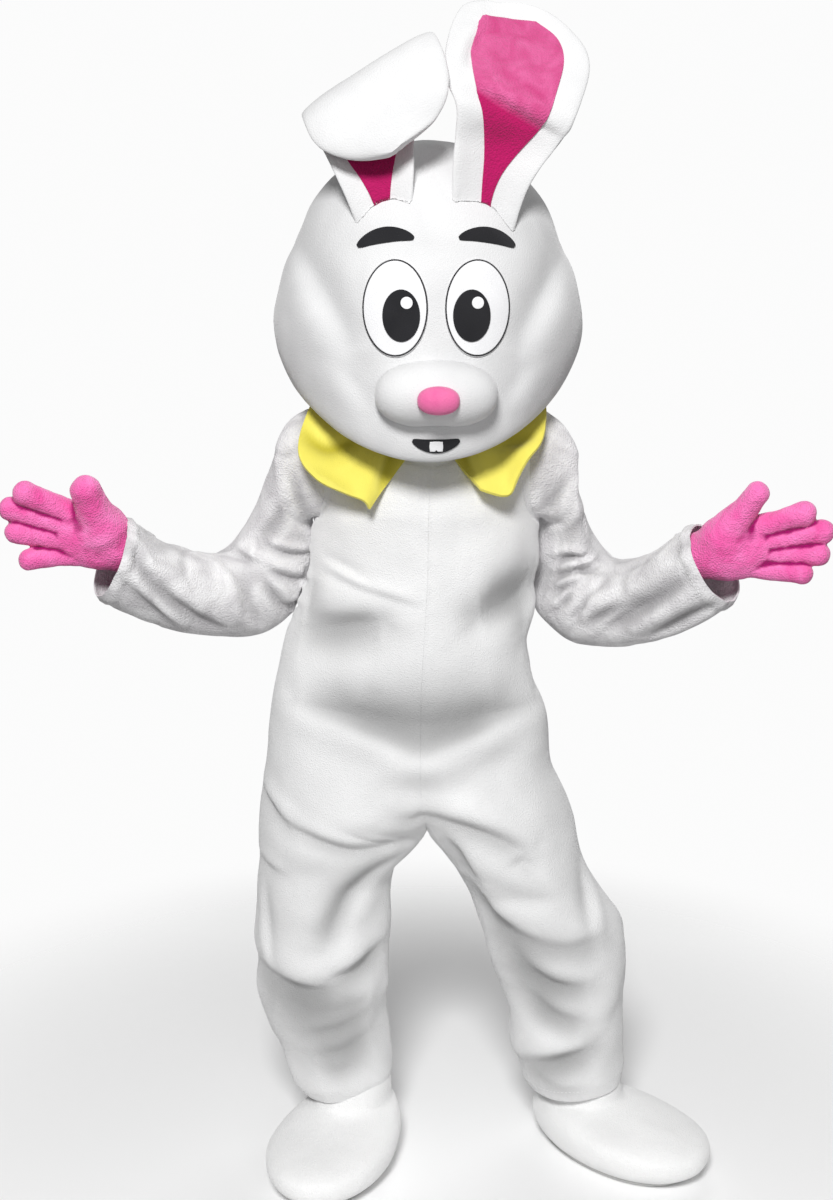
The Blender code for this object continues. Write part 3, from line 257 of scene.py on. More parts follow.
yellow_felt = plush(
    "yellow_felt", (0.88, 0.80, 0.16), (0.80, 0.70, 0.10), 10.0, 1.5, 700.0, 0.0008, 0.35, FELT_PAINTED_SHADE
)
nose_fleece = plush("nose_fleece", (0.86, 0.20, 0.42), (0.76, 0.13, 0.34), 30.0, 1.6, 600.0, 0.0010)
white_felt = plush("white_felt", (0.88, 0.88, 0.89), (0.80, 0.80, 0.815), 14.0, 1.5, 800.0, 0.0006)
black_felt = plush("black_felt", (0.012, 0.012, 0.014), (0.025, 0.025, 0.028), 14.0, 1.5, 800.0, 0.0006)
sole_rubber = plush("sole_rubber", (0.62, 0.62, 0.61), (0.52, 0.52, 0.51), 12.0, 1.5, 900.0, 0.0003, 0.0)
print("finishes:", len(bpy.data.materials))

# %% [markdown]
# ## Taking the skin off a solid
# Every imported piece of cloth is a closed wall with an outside, an inside and a thin rim. We weld
# its loose triangles, walk over the faces without turning a sharp corner, and keep the largest
# patch. That is the outside, as a single sheet of quads that can be smoothed and folded.

# %% Skin helpers
WELD = 1e-5                        # corners closer than this become one, in metres
RIM_TURN = math.radians(75)        # the skin ends at a sharper turn than this
RIM_SLACK = 0.00002                # how far a rim's edge may miss the wall's thickness


def join_to_quads(shape):
    bmesh.ops.join_triangles(
        shape,
        faces=shape.faces[:],
        angle_face_threshold=math.radians(70),
        angle_shape_threshold=math.radians(120),
    )


def outer_skin(name, thickness, turn=RIM_TURN):
    """The outside of a walled piece as an open sheet, without its rim and its inside."""
    shape = bmesh.new()
    shape.from_mesh(nodes[name].data)
    bmesh.ops.remove_doubles(shape, verts=shape.verts, dist=WELD)
    rim = [f for f in shape.faces if any(abs(e.calc_length() - thickness) < RIM_SLACK for e in f.edges)]
    bmesh.ops.delete(shape, geom=rim, context="FACES")
    shape.faces.ensure_lookup_table()
    shape.faces.index_update()
    island = [-1] * len(shape.faces)
    sizes = []
    for start in shape.faces:
        if island[start.index] >= 0:
            continue
        tag = len(sizes)
        island[start.index] = tag
        waiting, area = [start], 0.0
        while waiting:
            face = waiting.pop()
            area += face.calc_area()
            for edge in face.edges:
                for other in edge.link_faces:
                    if island[other.index] < 0 and face.normal.angle(other.normal) < turn:
                        island[other.index] = tag
                        waiting.append(other)
        sizes.append(area)
    keep = sizes.index(max(sizes))
    extra = [f for f in shape.faces if island[f.index] != keep]
    bmesh.ops.delete(shape, geom=extra, context="FACES")
    join_to_quads(shape)
    return shape


def to_mesh(name, shape):
    mesh = bpy.data.meshes.new(name)
    shape.to_mesh(mesh)
    shape.free()
    return mesh


def points_of(mesh):
    flat = np.zeros(len(mesh.vertices) * 3)
    mesh.vertices.foreach_get("co", flat)
    return flat.reshape(-1, 3)


def set_points(mesh, points):
    mesh.vertices.foreach_set("co", np.ascontiguousarray(points, dtype=np.float32).ravel())
    mesh.update()


def normals_of(mesh):
    flat = np.zeros(len(mesh.vertices) * 3)
    mesh.vertex_normals.foreach_get("vector", flat)
    return flat.reshape(-1, 3)


# %% [markdown]
# ## Smooth surfaces that stay the right size
# Catmull-Clark subdivision rounds a coarse sheet, but it also shrinks it. So the coarse corners are
# first moved out by as much as the smooth surface falls short of them. After two rounds the smooth
# surface passes through the places where the corners began.

# %% Subdivision helpers
def add_object(name, mesh):
    thing = bpy.data.objects.new(name, mesh)
    bpy.context.scene.collection.objects.link(thing)
    return thing


def applied(thing):
    """The object's mesh with its modifiers applied; the object itself is removed."""
    graph = bpy.context.evaluated_depsgraph_get()
    mesh = bpy.data.meshes.new_from_object(thing.evaluated_get(graph))
    bpy.data.objects.remove(thing)
    return mesh


def subdivided(mesh, levels):
    thing = add_object("step", mesh)
    step = thing.modifiers.new("smooth", "SUBSURF")
    step.levels = step.render_levels = levels
    step.boundary_smooth = "PRESERVE_CORNERS"
    return applied(thing)


def smooth_through(mesh, levels, rounds=2):
    """Subdivides a mesh so that the result still passes through its corners."""
    aim = points_of(mesh)
    cage = aim.copy()
    for _ in range(rounds):
        short = aim - points_of(subdivided(mesh, levels))[: len(aim)]
        cage += short
        set_points(mesh, cage)
    return subdivided(mesh, levels)


def neighbour_means(mesh, points, rounds, share=1.0):
    """Moves every point toward the middle of its neighbours, a number of times over."""
    a, b = np.array([e.vertices[:] for e in mesh.edges]).T
    ends, starts = np.concatenate((a, b)), np.concatenate((b, a))
    count = np.maximum(np.bincount(ends, minlength=len(points)), 1)[:, None]
    for _ in range(rounds):
        sums = [np.bincount(ends, weights=points[starts, k], minlength=len(points)) for k in range(3)]
        points = points + (np.stack(sums, axis=1) / count - points) * share
    return points


# %% [markdown]
# ## One skin for the whole suit
# The suit is sewn from six panels, but a fold runs on across a seam. So the six skins are welded
# into one sheet, smoothed and folded as one, and only then cut apart again along the seams. Where
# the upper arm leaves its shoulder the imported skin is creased, so it is eased there. Below each
# armhole the sleeve hangs close to the side, and a table of nudges draws the two together.

# %% Weld and smooth the suit
SUIT = (
    "suit_front_right", "suit_front_left", "suit_back_right", "suit_back_left", "sleeve_right", "sleeve_left",
)
# the middles of the shoulder caps, how far round them the skin is eased, and how many times over
SHOULDER_CAPS = ((0.268, -0.030, -0.115), (-0.258, -0.030, -0.115))
CAP_REACH, CAP_FADE, CAP_ROUNDS = 0.045, 1.6, 40
# In metres: a nudge's middle, how far it moves the cloth there, and how far round it reaches. The
# nudges at the right arm are too strong: the sleeve and the back panel cross there by up to 5 mm.
Nudge = namedtuple("Nudge", "at by reach")
NUDGES = (
    Nudge((-0.205, -0.007, -0.165), (0.008, 0.0, 0.0), 0.030),
    Nudge((-0.217, 0.015, -0.220), (0.016, 0.0, 0.0), 0.040),
    Nudge((-0.197, -0.022, -0.205), (-0.011, 0.0, 0.0), 0.055),
    Nudge((0.206, 0.045, -0.300), (-0.013, 0.0, 0.0), 0.045),
    Nudge((0.205, 0.030, -0.225), (-0.007, 0.0, 0.0), 0.034),
    Nudge((0.186, -0.034, -0.290), (0.010, 0.0, 0.0), 0.060),
    Nudge((0.212, 0.040, -0.340), (-0.012, 0.0, 0.0), 0.045),
    Nudge((0.176, -0.034, -0.345), (0.009, 0.0, 0.0), 0.045),
    Nudge((-0.206, -0.020, -0.270), (-0.0045, 0.0, 0.0), 0.035),
    Nudge((-0.223, 0.010, -0.268), (0.0035, 0.0, 0.0), 0.030),
    Nudge((0.190, -0.034, -0.236), (0.005, 0.0, 0.0), 0.030),
    Nudge((0.203, 0.040, -0.240), (-0.005, 0.0, 0.0), 0.030),
)


def suit_skin():
    whole = bmesh.new()
    for tag, name in enumerate(SUIT):
        part = outer_skin(name, CLOTH)
        for face in part.faces:
            face.material_index = tag
        mesh = to_mesh(name, part)
        whole.from_mesh(mesh)
    bmesh.ops.remove_doubles(whole, verts=whole.verts, dist=3 * SEAM_GAP)
    sides = [len(f.verts) for f in whole.faces]
    print("suit skin:", len(sides), "faces, of them triangles:", sides.count(3))
    mesh = to_mesh("suit_skin", whole)
    for _ in SUIT:
        mesh.materials.append(None)
    skin = smooth_through(mesh, 3)
    points = points_of(skin)
    for middle in SHOULDER_CAPS:
        away = np.linalg.norm(points - np.array(middle), axis=1)
        near = np.clip(CAP_FADE - away / CAP_REACH, 0, 1)[:, None]
        points = neighbour_means(skin, points, CAP_ROUNDS, near)
    # a nudge only moves what faces the gap, so the two cloths don't drag each other along
    out = normals_of(skin)
    for nudge in NUDGES:
        away = np.linalg.norm(points - np.array(nudge.at), axis=1)
        facing = np.clip(out @ np.array(nudge.by) / np.linalg.norm(nudge.by), 0, 1)
        points += (np.exp(-((away / nudge.reach) ** 2)) * facing)[:, None] * np.array(nudge.by)
    set_points(skin, points)
    return skin


suit = suit_skin()
print("smooth suit skin:", len(suit.polygons), "faces")

# %% [markdown]
# ## Folds, placed one by one
# Cloth that is held at the neck and crowded at the waist, elbows and knees breaks into folds. Each
# fold here is a line on the cloth, seen from the front or the back. Beside a narrow trough runs a
# rounder ridge, where the spare cloth goes. The line is dropped straight onto the skin, so it
# follows the body round. Trough and ridge fade out at both ends.

# %% The fold table
FRONT, BACK = Vector((0, 1, 0)), Vector((0, -1, 0))
UP, DOWN, EAST, WEST = (0.0, 1.0), (0.0, -1.0), (1.0, 0.0), (-1.0, 0.0)
# in millimetres: points (x, z) along the fold, its half width, depth and ridge height, and on
# which side of the line the ridge lies
Fold = namedtuple("Fold", "name seen line width sink rise ridge")
FOLDS = (
    Fold("rib", FRONT, ((-180, -250), (-140, -262), (-90, -278), (-25, -296)), 7, 6, 3, UP),
    Fold("rib above", FRONT, ((-180, -222), (-140, -238), (-95, -262)), 6, 5, 2, DOWN),
    Fold("side pocket", FRONT, ((-230, -352), (-160, -342), (-88, -330)), 24, 20, 0, UP),
    Fold("flank right", FRONT, ((-205, -262), (-214, -300), (-222, -345)), 20, 9, 0, WEST),
    Fold("armhole pocket", FRONT, ((96, -322), (150, -304), (207, -274)), 26, 22, 0, DOWN),
    Fold("flank left", FRONT, ((190, -250), (178, -310), (172, -370)), 20, 9, 0, EAST),
    Fold("belly right arm", FRONT, ((-235, -480), (-171, -488), (-98, -510), (-10, -543)), 20, 18, 1, DOWN),
    Fold("belly left arm", FRONT, ((-12, -543), (67, -518), (122, -494), (200, -484)), 20, 18, 1, DOWN),
    Fold("belly hollow", FRONT, ((-132, -484), (-10, -506), (124, -484)), 34, 19, 0, DOWN),
    Fold("hip", FRONT, ((-305, -664), (-279, -690), (-252, -712)), 11, 10, 5, UP),
    Fold("groin", FRONT, ((-250, -706), (-195, -726), (-130, -742), (-50, -740)), 10, 14, 6, UP),
    Fold("crotch", FRONT, ((-60, -680), (-28, -690), (4, -678)), 14, 6, 2, UP),
    Fold("thigh sweep", FRONT,
        ((-50, -776), (-96, -800), (-140, -846), (-168, -900), (-184, -945)),
        18, 15, 5, EAST,
    ),
    Fold("knee inside", FRONT, ((-78, -962), (-123, -985), (-175, -1008)), 18, 16, 6, UP),
    Fold("side seam top", FRONT, ((-312, -792), (-285, -800), (-262, -804)), 9, 5, 3, UP),
    Fold("side seam run", FRONT, ((-300, -835), (-294, -915), (-284, -985)), 9, 6, 4, WEST),
    Fold("shin notch", FRONT, ((-322, -1004), (-275, -1022), (-225, -1034), (-170, -1036)), 22, 19, 7, UP),
    Fold("shin middle", FRONT, ((-108, -1092), (-150, -1112), (-225, -1126)), 18, 10, 4, UP),
    Fold("shin low", FRONT, ((-104, -1138), (-155, -1164), (-215, -1172)), 22, 16, 2, UP),
    Fold("shin shade", FRONT, ((-290, -1066), (-190, -1078), (-100, -1060)), 30, 18, 0, UP),
    Fold("crotch left", FRONT, ((30, -728), (56, -765), (84, -818)), 15, 14, 1, EAST),
    Fold("ankle crush", FRONT, ((-135, -1190), (-160, -1200), (-190, -1200)), 10, 4, 2, UP),
    Fold("lap", FRONT, ((-4, -684), (66, -697), (138, -727), (186, -760)), 15, 16, 8, UP),
    Fold("lap pinch", FRONT, ((150, -772), (172, -764), (196, -778)), 7, 5, 2, UP),
    Fold("thigh soft", FRONT, ((95, -860), (167, -842), (240, -840)), 15, 5, 3, DOWN),
    Fold("knee main", FRONT, ((80, -842), (118, -892), (175, -930), (251, -948), (326, -936)), 22, 18, 4, UP),
    Fold("knee outer", FRONT, ((286, -815), (296, -860), (300, -915)), 13, 8, 6, EAST),
    Fold("shin top", FRONT, ((172, -1003), (236, -1022), (305, -1018)), 20, 14, 3, UP),
    Fold("knee left shade", FRONT, ((136, -950), (192, -996), (268, -1030)), 24, 16, 3, UP),
    Fold("shin zig", FRONT, ((180, -1052), (232, -1084), (296, -1104)), 20, 17, 4, UP),
    Fold("shin zag", FRONT, ((170, -1216), (228, -1192), (310, -1156)), 23, 20, 5, UP),
    Fold("ankle left", FRONT, ((205, -1232), (250, -1242), (300, -1236)), 10, 6, 3, UP),
    Fold("upper sleeve right", FRONT, ((-240, -75), (-231, -115), (-217, -165)), 8, 10, 2, WEST),
    Fold("upper blot right", FRONT, ((-302, -192), (-278, -170), (-256, -136)), 13, 10, 2, WEST),
    Fold("upper sleeve left", FRONT, ((243, -88), (229, -122), (213, -156)), 8, 10, 2, EAST),
    Fold("upper blot left", FRONT, ((236, -194), (262, -174), (292, -162)), 15, 9, 2, UP),
    Fold("sleeve pit", FRONT, ((-282, -208), (-245, -221), (-212, -228)), 5, 10, 6, UP),
    Fold("sleeve pit low", FRONT, ((-286, -246), (-252, -262), (-218, -274)), 6, 11, 7, UP),
    Fold("elbow curl", FRONT, ((-292, -266), (-273, -292), (-256, -318), (-232, -322)), 7, 11, 6, EAST),
    Fold("elbow side", FRONT, ((-334, -280), (-326, -318), (-310, -350)), 7, 9, 4, WEST),
    Fold("crook right", FRONT, ((-352, -216), (-330, -226), (-300, -236)), 5, 9, 6, UP),
    Fold("elbow fan", FRONT, ((-366, -236), (-330, -272), (-304, -340)), 7, 6, 4, WEST),
    Fold("forearm long", FRONT,
        ((-466, -246), (-448, -284), (-424, -310), (-398, -335), (-370, -352)),
        11, 17, 4, EAST,
    ),
    Fold("forearm thin", FRONT, ((-506, -186), (-490, -222), (-476, -252), (-462, -278)), 7, 10, 5, EAST),
    Fold("forearm cuff", FRONT, ((-522, -252), (-500, -280), (-476, -312), (-446, -348)), 9, 12, 5, EAST),
    Fold("left pit", FRONT, ((228, -238), (253, -228), (286, -231)), 5, 10, 7, UP),
    Fold("left pit low", FRONT, ((225, -266), (265, -250), (298, -248)), 5, 9, 6, UP),
    Fold("left crook", FRONT, ((225, -294), (241, -283), (268, -270)), 5, 9, 6, UP),
    Fold("left crook low", FRONT, ((226, -332), (236, -318), (254, -292)), 5, 9, 5, WEST),
    Fold("left elbow", FRONT, ((258, -344), (268, -324), (278, -306)), 5, 9, 5, EAST),
    Fold("crook left", FRONT, ((314, -234), (294, -246), (268, -252)), 5, 9, 6, UP),
    Fold("left elbow long", FRONT, ((284, -352), (303, -330), (324, -310)), 7, 12, 6, EAST),
    Fold("left forearm", FRONT,
        ((306, -356), (336, -334), (366, -309), (400, -280), (432, -248)),
        15, 20, 4, EAST,
    ),
    Fold("left forearm low", FRONT, ((394, -356), (422, -338), (452, -316), (484, -290)), 11, 16, 5, EAST),
    Fold("waist back", BACK,
        ((-215, -440), (-120, -458), (-20, -472), (90, -468), (190, -446)),
        15, 12, 5, UP,
    ),
    Fold("waist back low", BACK, ((-165, -508), (-70, -528), (30, -522)), 16, 8, 4, UP),
    Fold("shoulder blade right", BACK, ((-175, -130), (-150, -190), (-115, -250)), 14, 7, 5, EAST),
    Fold("shoulder blade left", BACK, ((175, -135), (150, -200), (120, -265)), 14, 7, 5, WEST),
    Fold("side back right", BACK, ((-205, -330), (-150, -345), (-90, -340)), 13, 9, 6, DOWN),
    Fold("side back left", BACK, ((172, -338), (124, -362), (70, -372)), 15, 8, 4, DOWN),
    Fold("seat right", BACK, ((-290, -730), (-190, -772), (-90, -802), (-40, -786)), 15, 13, 6, UP),
    Fold("seat left", BACK, ((262, -752), (180, -776), (84, -802), (36, -776)), 14, 12, 6, UP),
    Fold("thigh back right", BACK, ((-292, -842), (-225, -872), (-150, -884)), 16, 8, 4, UP),
    Fold("thigh back left", BACK, ((190, -850), (240, -880), (300, -898)), 14, 9, 4, UP),
    Fold("knee back right", BACK, ((-305, -955), (-215, -992), (-120, -1000)), 14, 14, 6, UP),
    Fold("knee back right low", BACK, ((-110, -1046), (-170, -1058), (-238, -1042)), 17, 10, 4, UP),
    Fold("knee back left", BACK, ((352, -958), (262, -978), (165, -1004)), 14, 14, 6, UP),
    Fold("knee back left low", BACK, ((356, -1062), (300, -1058), (232, -1032)), 17, 11, 4, UP),
    Fold("ankle back right", BACK, ((-245, -1150), (-190, -1180), (-118, -1184)), 16, 10, 5, UP),
    Fold("ankle back left", BACK, ((352, -1176), (296, -1178), (222, -1150)), 15, 10, 5, UP),
    Fold("elbow back right", BACK, ((-300, -200), (-330, -270), (-320, -330)), 10, 8, 6, WEST),
    Fold("forearm back right", BACK, ((-400, -245), (-420, -290), (-400, -335)), 10, 9, 6, EAST),
    Fold("elbow back left", BACK, ((285, -210), (305, -290), (295, -350)), 10, 8, 6, EAST),
    Fold("forearm back left", BACK, ((350, -250), (375, -300), (355, -350)), 10, 9, 6, WEST),
)
print("folds placed:", len(FOLDS))

# %% [markdown]
# ## Pressing a fold into the skin
# For each fold we walk a smooth curve through its points and drop a ray at every step. Each point
# of the skin near the curve learns how far across the fold it lies. Two bell curves then give its
# height: one down for the trough and a wider one up for the ridge beside it. The trough is steep
# toward its ridge and gentle on the other side, because thick plush rolls over rather than kinks.

# %% Fold helpers
MM = 0.001
STEP = 0.006             # between two points of a curve, in metres
REACH = 5.0              # how many half widths from its line a fold still shows
# a trough's width toward its ridge and away from it, in half widths, and how square its bottom is
STEEP, GENTLE, TROUGH_POWER = 0.85, 1.8, 1.7
CREST_AWAY, CREST_WIDTH = 2.0, 1.5       # the ridge beside it, in half widths
# how a fold fades along its line, and past its ends, in half widths
FADE_START, FADE_SPAN, FADE_POWER, PAST_END = 0.06, 0.88, 0.7, 1.3


def curve_through(points, step=STEP):
    """Evenly spaced points on a smooth curve through the given ones."""
    knots = [Vector(p) for p in points]
    knots = [2 * knots[0] - knots[1], *knots, 2 * knots[-1] - knots[-2]]
    line = []
    for a, b, c, d in zip(knots, knots[1:], knots[2:], knots[3:]):
        count = max(2, int((c - b).length / step))
        for i in range(count):
            t = i / count
            square, cube = 2 * a - 5 * b + 4 * c - d, 3 * b - a - 3 * c + d
            line.append(0.5 * (2 * b + (c - a) * t + square * t**2 + cube * t**3))
    line.append(knots[-2])
    return line


def drop_line(tree, seen, line):
    """The curve's points on the cloth, seen along a direction, with the way along and the normals."""
    spots, normals = [], []
    for x, z in line:
        start = Vector((x, 0.0, z)) - seen
        spot, normal, _, _ = tree.ray_cast(start, seen)
        if spot is not None:
            spots.append(spot)
            normals.append(normal)
    return np.array(spots), np.array(normals)


def fold_height(fold, tree, points):
    """How far this fold lifts each point."""
    width, sink, rise = fold.width * MM, fold.sink * MM, fold.rise * MM
    spots, normals = drop_line(tree, fold.seen, curve_through([Vector(p) * MM for p in fold.line]))
    height = np.zeros(len(points))
    if len(spots) < 3:
        print("fold misses the cloth:", fold.name)
        return height
    way = np.gradient(spots, axis=0)
    across = np.cross(way, normals)
    across /= np.linalg.norm(across, axis=1)[:, None] + 1e-12
    toward = np.array((fold.ridge[0], 0.0, fold.ridge[1]))
    if np.sum(across @ toward) < 0:
        across = -across
    reach = REACH * width
    near = np.all((points > spots.min(0) - reach) & (points < spots.max(0) + reach), axis=1)
    ids = np.nonzero(near)[0]
    gap = np.linalg.norm(points[ids][:, None, :] - spots[None], axis=2)
    best = gap.argmin(1)
    along = best / (len(spots) - 1)
    offset = points[ids] - spots[best]
    side = np.sum(offset * across[best], axis=1)
    # past an end of the line the distance counts, not only the way across
    beyond = np.maximum(gap[np.arange(len(ids)), best] - np.abs(side), 0.0)
    fade = np.sin(np.pi * np.clip(FADE_START + FADE_SPAN * along, 0, 1)) ** FADE_POWER
    fade *= np.exp(-((beyond / (PAST_END * width)) ** 2))
    spread = np.where(side > 0, STEEP, GENTLE) * width
    trough = np.exp(-np.abs(side / spread) ** TROUGH_POWER)
    crest = np.exp(-(((side - CREST_AWAY * width) / (CREST_WIDTH * width)) ** 2))
    height[ids] = fade * (rise * crest - sink * trough)
    return height


def tree_of(mesh):
    return BVHTree.FromPolygons([v.co for v in mesh.vertices], [p.vertices[:] for p in mesh.polygons])


# %% [markdown]
# ## Seams, hems and the give of the cloth
# An armhole seam pulls the cloth in along its line and puckers it a little. The long seams of the
# body stand up as a low ridge with a soft dent on each side. A hem is turned under, so it is
# fuller right at the edge with a dent where the stitching holds it. And no cloth lies perfectly
# even, so soft noise moves it by a few millimetres, a little more on the legs; the longer pile of
# the sleeves crumples along thin wandering lines. Where the collar and the placket lie on the suit
# it may only sink. How deep a fold or a crumple line lies is kept as a "crease" value, from which
# the finish paints shade: this painted shade is blurred on the smooth plush of the body and stays
# crisp on the sleeves.

# %% Seam and hem helpers
# soft noise: its height in metres, how fine it is, and the seed of its random draw
Wave = namedtuple("Wave", "height scale seed")
CLOTH_WAVES = (Wave(0.0028, 9.0, 2), Wave(0.0012, 24.0, 3))
LEG_WAVE, SLEEVE_WAVE = Wave(0.0045, 13.0, 6), Wave(0.0010, 32.0, 4)
PUCKER = Wave(0.7, 60.0, 1)              # its height is a share of the seam's own
# lengths in metres; ARMHOLE_RIDGE_AWAY is in armhole widths
ARMHOLE_WIDTH, ARMHOLE_SINK, ARMHOLE_RIDGE, ARMHOLE_RIDGE_AWAY = 0.0055, 0.0020, 0.0006, 2.6
SEAM_RIDGE, SEAM_RIDGE_WIDTH = 0.0009, 0.0024
SEAM_DENT, SEAM_DENT_AWAY, SEAM_DENT_WIDTH = 0.0012, 0.0075, 0.0040
HEM_WIDTH, HEM_DENT, HEM_DENT_WIDTH, HEM_SWELL, HEM_SWELL_WIDTH = 0.024, 0.0026, 0.004, 0.0030, 0.4
# painted shade: how dark a crease is painted, and how deep a fold has to be for it
CREASE_SHADE, BODY_CREASE, LEG_CREASE, SLEEVE_CREASE = 0.95, 0.014, 0.010, 0.008
CREASE_POWER, CREASE_ROUNDS = 1.3, 5
# CRUMPLE_SHADE: how much painted shade a sleeve's crumple line gets
CRUMPLE, CRUMPLE_WIDTH, CRUMPLE_SHADE = Wave(0.0030, 14.0, 20), 0.12, 0.42
CRUMPLE_PATCHES, CRUMPLE_BASE = Wave(2.0, 8.0, 21), 0.4
# a cuff and a leg's hem curl in toward what they lie on: how far, and over what width
CUFF_CURL, CUFF_CURL_WIDTH = 0.0070, 0.0090
LEG_CURL, LEG_CURL_WIDTH = 0.0150, 0.0180
LIMB_CLEAR, LIMB_NEAR = 0.0026, 0.02     # kept clear of a shoe or glove, and looked at for it
HEM_EASE, HEM_EASE_REACH, HEM_EASE_ROUNDS = 0.7, 0.03, 8
LEG_TOP, LEG_FADE, HEM_LEVEL = -0.78, 0.1, -1.0          # heights
ARM_FROM, ARM_FADE, ARM_LOW = 0.24, 0.05, -0.42          # how far out the arms begin, and how low they end
EDGE_REACH, LAID_MARGIN = 0.05, 0.006
FIRST_SLEEVE = 4         # tags from here on are sleeves
Edges = namedtuple("Edges", "armholes seams hems")


def edge_points(mesh):
    """Midpoints of the armhole seams, of the other seams and of the open edges of a tagged mesh."""
    shape = bmesh.new()
    shape.from_mesh(mesh)
    found = Edges([], [], [])
    for edge in shape.edges:
        middle = tuple((edge.verts[0].co + edge.verts[1].co) / 2)
        tags = {face.material_index for face in edge.link_faces}
        if edge.is_boundary:
            found.hems.append(middle)
        elif len(tags) > 1:
            (found.armholes if max(tags) >= FIRST_SLEEVE else found.seams).append(middle)
    shape.free()
    return found


def distance_to(spots, points, limit):
    """Each point's distance to the nearest of the spots, or the limit if that is further."""
    tree = KDTree(len(spots))
    for i, spot in enumerate(spots):
        tree.insert(spot, i)
    tree.balance()
    return np.array([min(tree.find(p)[2], limit) for p in points])


def soft_noise(points, scale, seed):
    shift = Vector((seed * 3.7, seed * 1.9, seed * 5.3))
    return np.array([noise.noise(Vector(p) * scale + shift) for p in points])


def waves(points, *kinds):
    """Soft noise of several sizes, one over another."""
    return sum(wave.height * soft_noise(points, wave.scale, wave.seed) for wave in kinds)


def covered(points, names, margin):
    """1 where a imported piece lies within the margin, fading to 0 at twice the margin."""
    share = np.zeros(len(points))
    for name in names:
        tree = tree_of(nodes[name].data)
        for i, p in enumerate(points):
            found = tree.find_nearest(p, 2 * margin)
            if found[0] is not None:
                share[i] = max(share[i], min(1.0, 2.0 - found[3] / margin))
    return share


def painted_crease_shade(mesh, points, height, on_sleeve):
    """How much painted shade each point gets, from how deep it lies in a fold."""
    body = np.where(points[:, 2] < LEG_TOP, LEG_CREASE, BODY_CREASE)
    sunk = np.maximum(-height, 0) / np.where(on_sleeve, SLEEVE_CREASE, body)
    crease = CREASE_SHADE * (1 - np.exp(-(sunk ** CREASE_POWER)))
    blurred = neighbour_means(mesh, np.repeat(crease[:, None], 3, axis=1), CREASE_ROUNDS)[:, 0]
    return np.where(on_sleeve, crease, blurred)


def folded_suit(mesh):
    """Folds, seams, hems and noise pressed into the suit's skin; returns the lift and the painted shade."""
    points, normals = points_of(mesh), normals_of(mesh)
    tree = tree_of(mesh)
    height = sum(fold_height(fold, tree, points) for fold in FOLDS)
    on_sleeve = np.zeros(len(points), bool)
    for face in mesh.polygons:
        if face.material_index >= FIRST_SLEEVE:
            on_sleeve[list(face.vertices)] = True
    crease = painted_crease_shade(mesh, points, height, on_sleeve)

    # seams and hems
    to_armhole, to_seam, to_hem = (distance_to(spots, points, EDGE_REACH) for spots in edge_points(mesh))
    pucker = 1.0 + waves(points, PUCKER)
    beside = to_armhole - ARMHOLE_RIDGE_AWAY * ARMHOLE_WIDTH
    swell = to_hem - 0.5 * HEM_WIDTH
    height -= ARMHOLE_SINK * pucker * np.exp(-((to_armhole / ARMHOLE_WIDTH) ** 2))
    height += ARMHOLE_RIDGE * np.exp(-((beside / ARMHOLE_WIDTH) ** 2))
    height += SEAM_RIDGE * np.exp(-((to_seam / SEAM_RIDGE_WIDTH) ** 2))
    height -= SEAM_DENT * pucker * np.exp(-(((to_seam - SEAM_DENT_AWAY) / SEAM_DENT_WIDTH) ** 2))
    height -= HEM_DENT * np.exp(-(((to_hem - HEM_WIDTH) / HEM_DENT_WIDTH) ** 2))
    height += HEM_SWELL * np.exp(-((swell / (HEM_SWELL_WIDTH * HEM_WIDTH)) ** 2))

    # the give of the cloth
    height += waves(points, *CLOTH_WAVES)
    height += waves(points, LEG_WAVE) * np.clip((LEG_TOP - points[:, 2]) / LEG_FADE, 0, 1)
    limbs = np.clip((np.abs(points[:, 0]) - ARM_FROM) / ARM_FADE, 0, 1) * (points[:, 2] > ARM_LOW)
    height += limbs * SLEEVE_WAVE.height * soft_noise(points, SLEEVE_WAVE.scale, SLEEVE_WAVE.seed)
    crumple = np.exp(-((soft_noise(points, CRUMPLE.scale, CRUMPLE.seed) / CRUMPLE_WIDTH) ** 2))
    crumple *= on_sleeve * np.clip(CRUMPLE_BASE + waves(points, CRUMPLE_PATCHES), 0, 1)
    height -= CRUMPLE.height * crumple
    # the crumple lines get painted shade too
    crease = np.maximum(crease, CRUMPLE_SHADE * crumple)
    laid = covered(points, ("collar_right", "collar_left", "back_placket"), LAID_MARGIN)
    height = np.where(height > 0, height * (1 - laid), height)

    # open edges curl in, and lie clear of the shoes and gloves
    leg = points[:, 2] < HEM_LEVEL
    curl_width = np.where(leg, LEG_CURL_WIDTH, CUFF_CURL_WIDTH)
    curl = np.where(leg, LEG_CURL, CUFF_CURL) * np.exp(-((to_hem / curl_width) ** 2))
    moved = points + normals * (height - curl)[:, None]
    keep_off(moved, normals, ("shoe_upper_right", "shoe_upper_left", "glove_right", "glove_left"))
    hem_zone = (leg & (to_hem < HEM_EASE_REACH)).astype(float)[:, None]
    set_points(mesh, neighbour_means(mesh, moved, HEM_EASE_ROUNDS, HEM_EASE * hem_zone))
    return height, crease


def keep_off(points, normals, names):
    """Lifts the points of a sheet that come too close to the pieces below it."""
    for name in names:
        tree = tree_of(nodes[name].data)
        for i, p in enumerate(points):
            spot, normal, _, _ = tree.find_nearest(Vector(p), LIMB_NEAR)
            if spot is None:
                continue
            short = CLOTH + LIMB_CLEAR - (Vector(p) - spot).dot(normal)
            if short > 0 and normal.dot(Vector(normals[i])) > 0:
                points[i] += np.array(normal) * short


lift, suit_painted_shade = folded_suit(suit)
print("folds move the cloth from", round(lift.min() * 1000, 1), "to", round(lift.max() * 1000, 1), "mm")

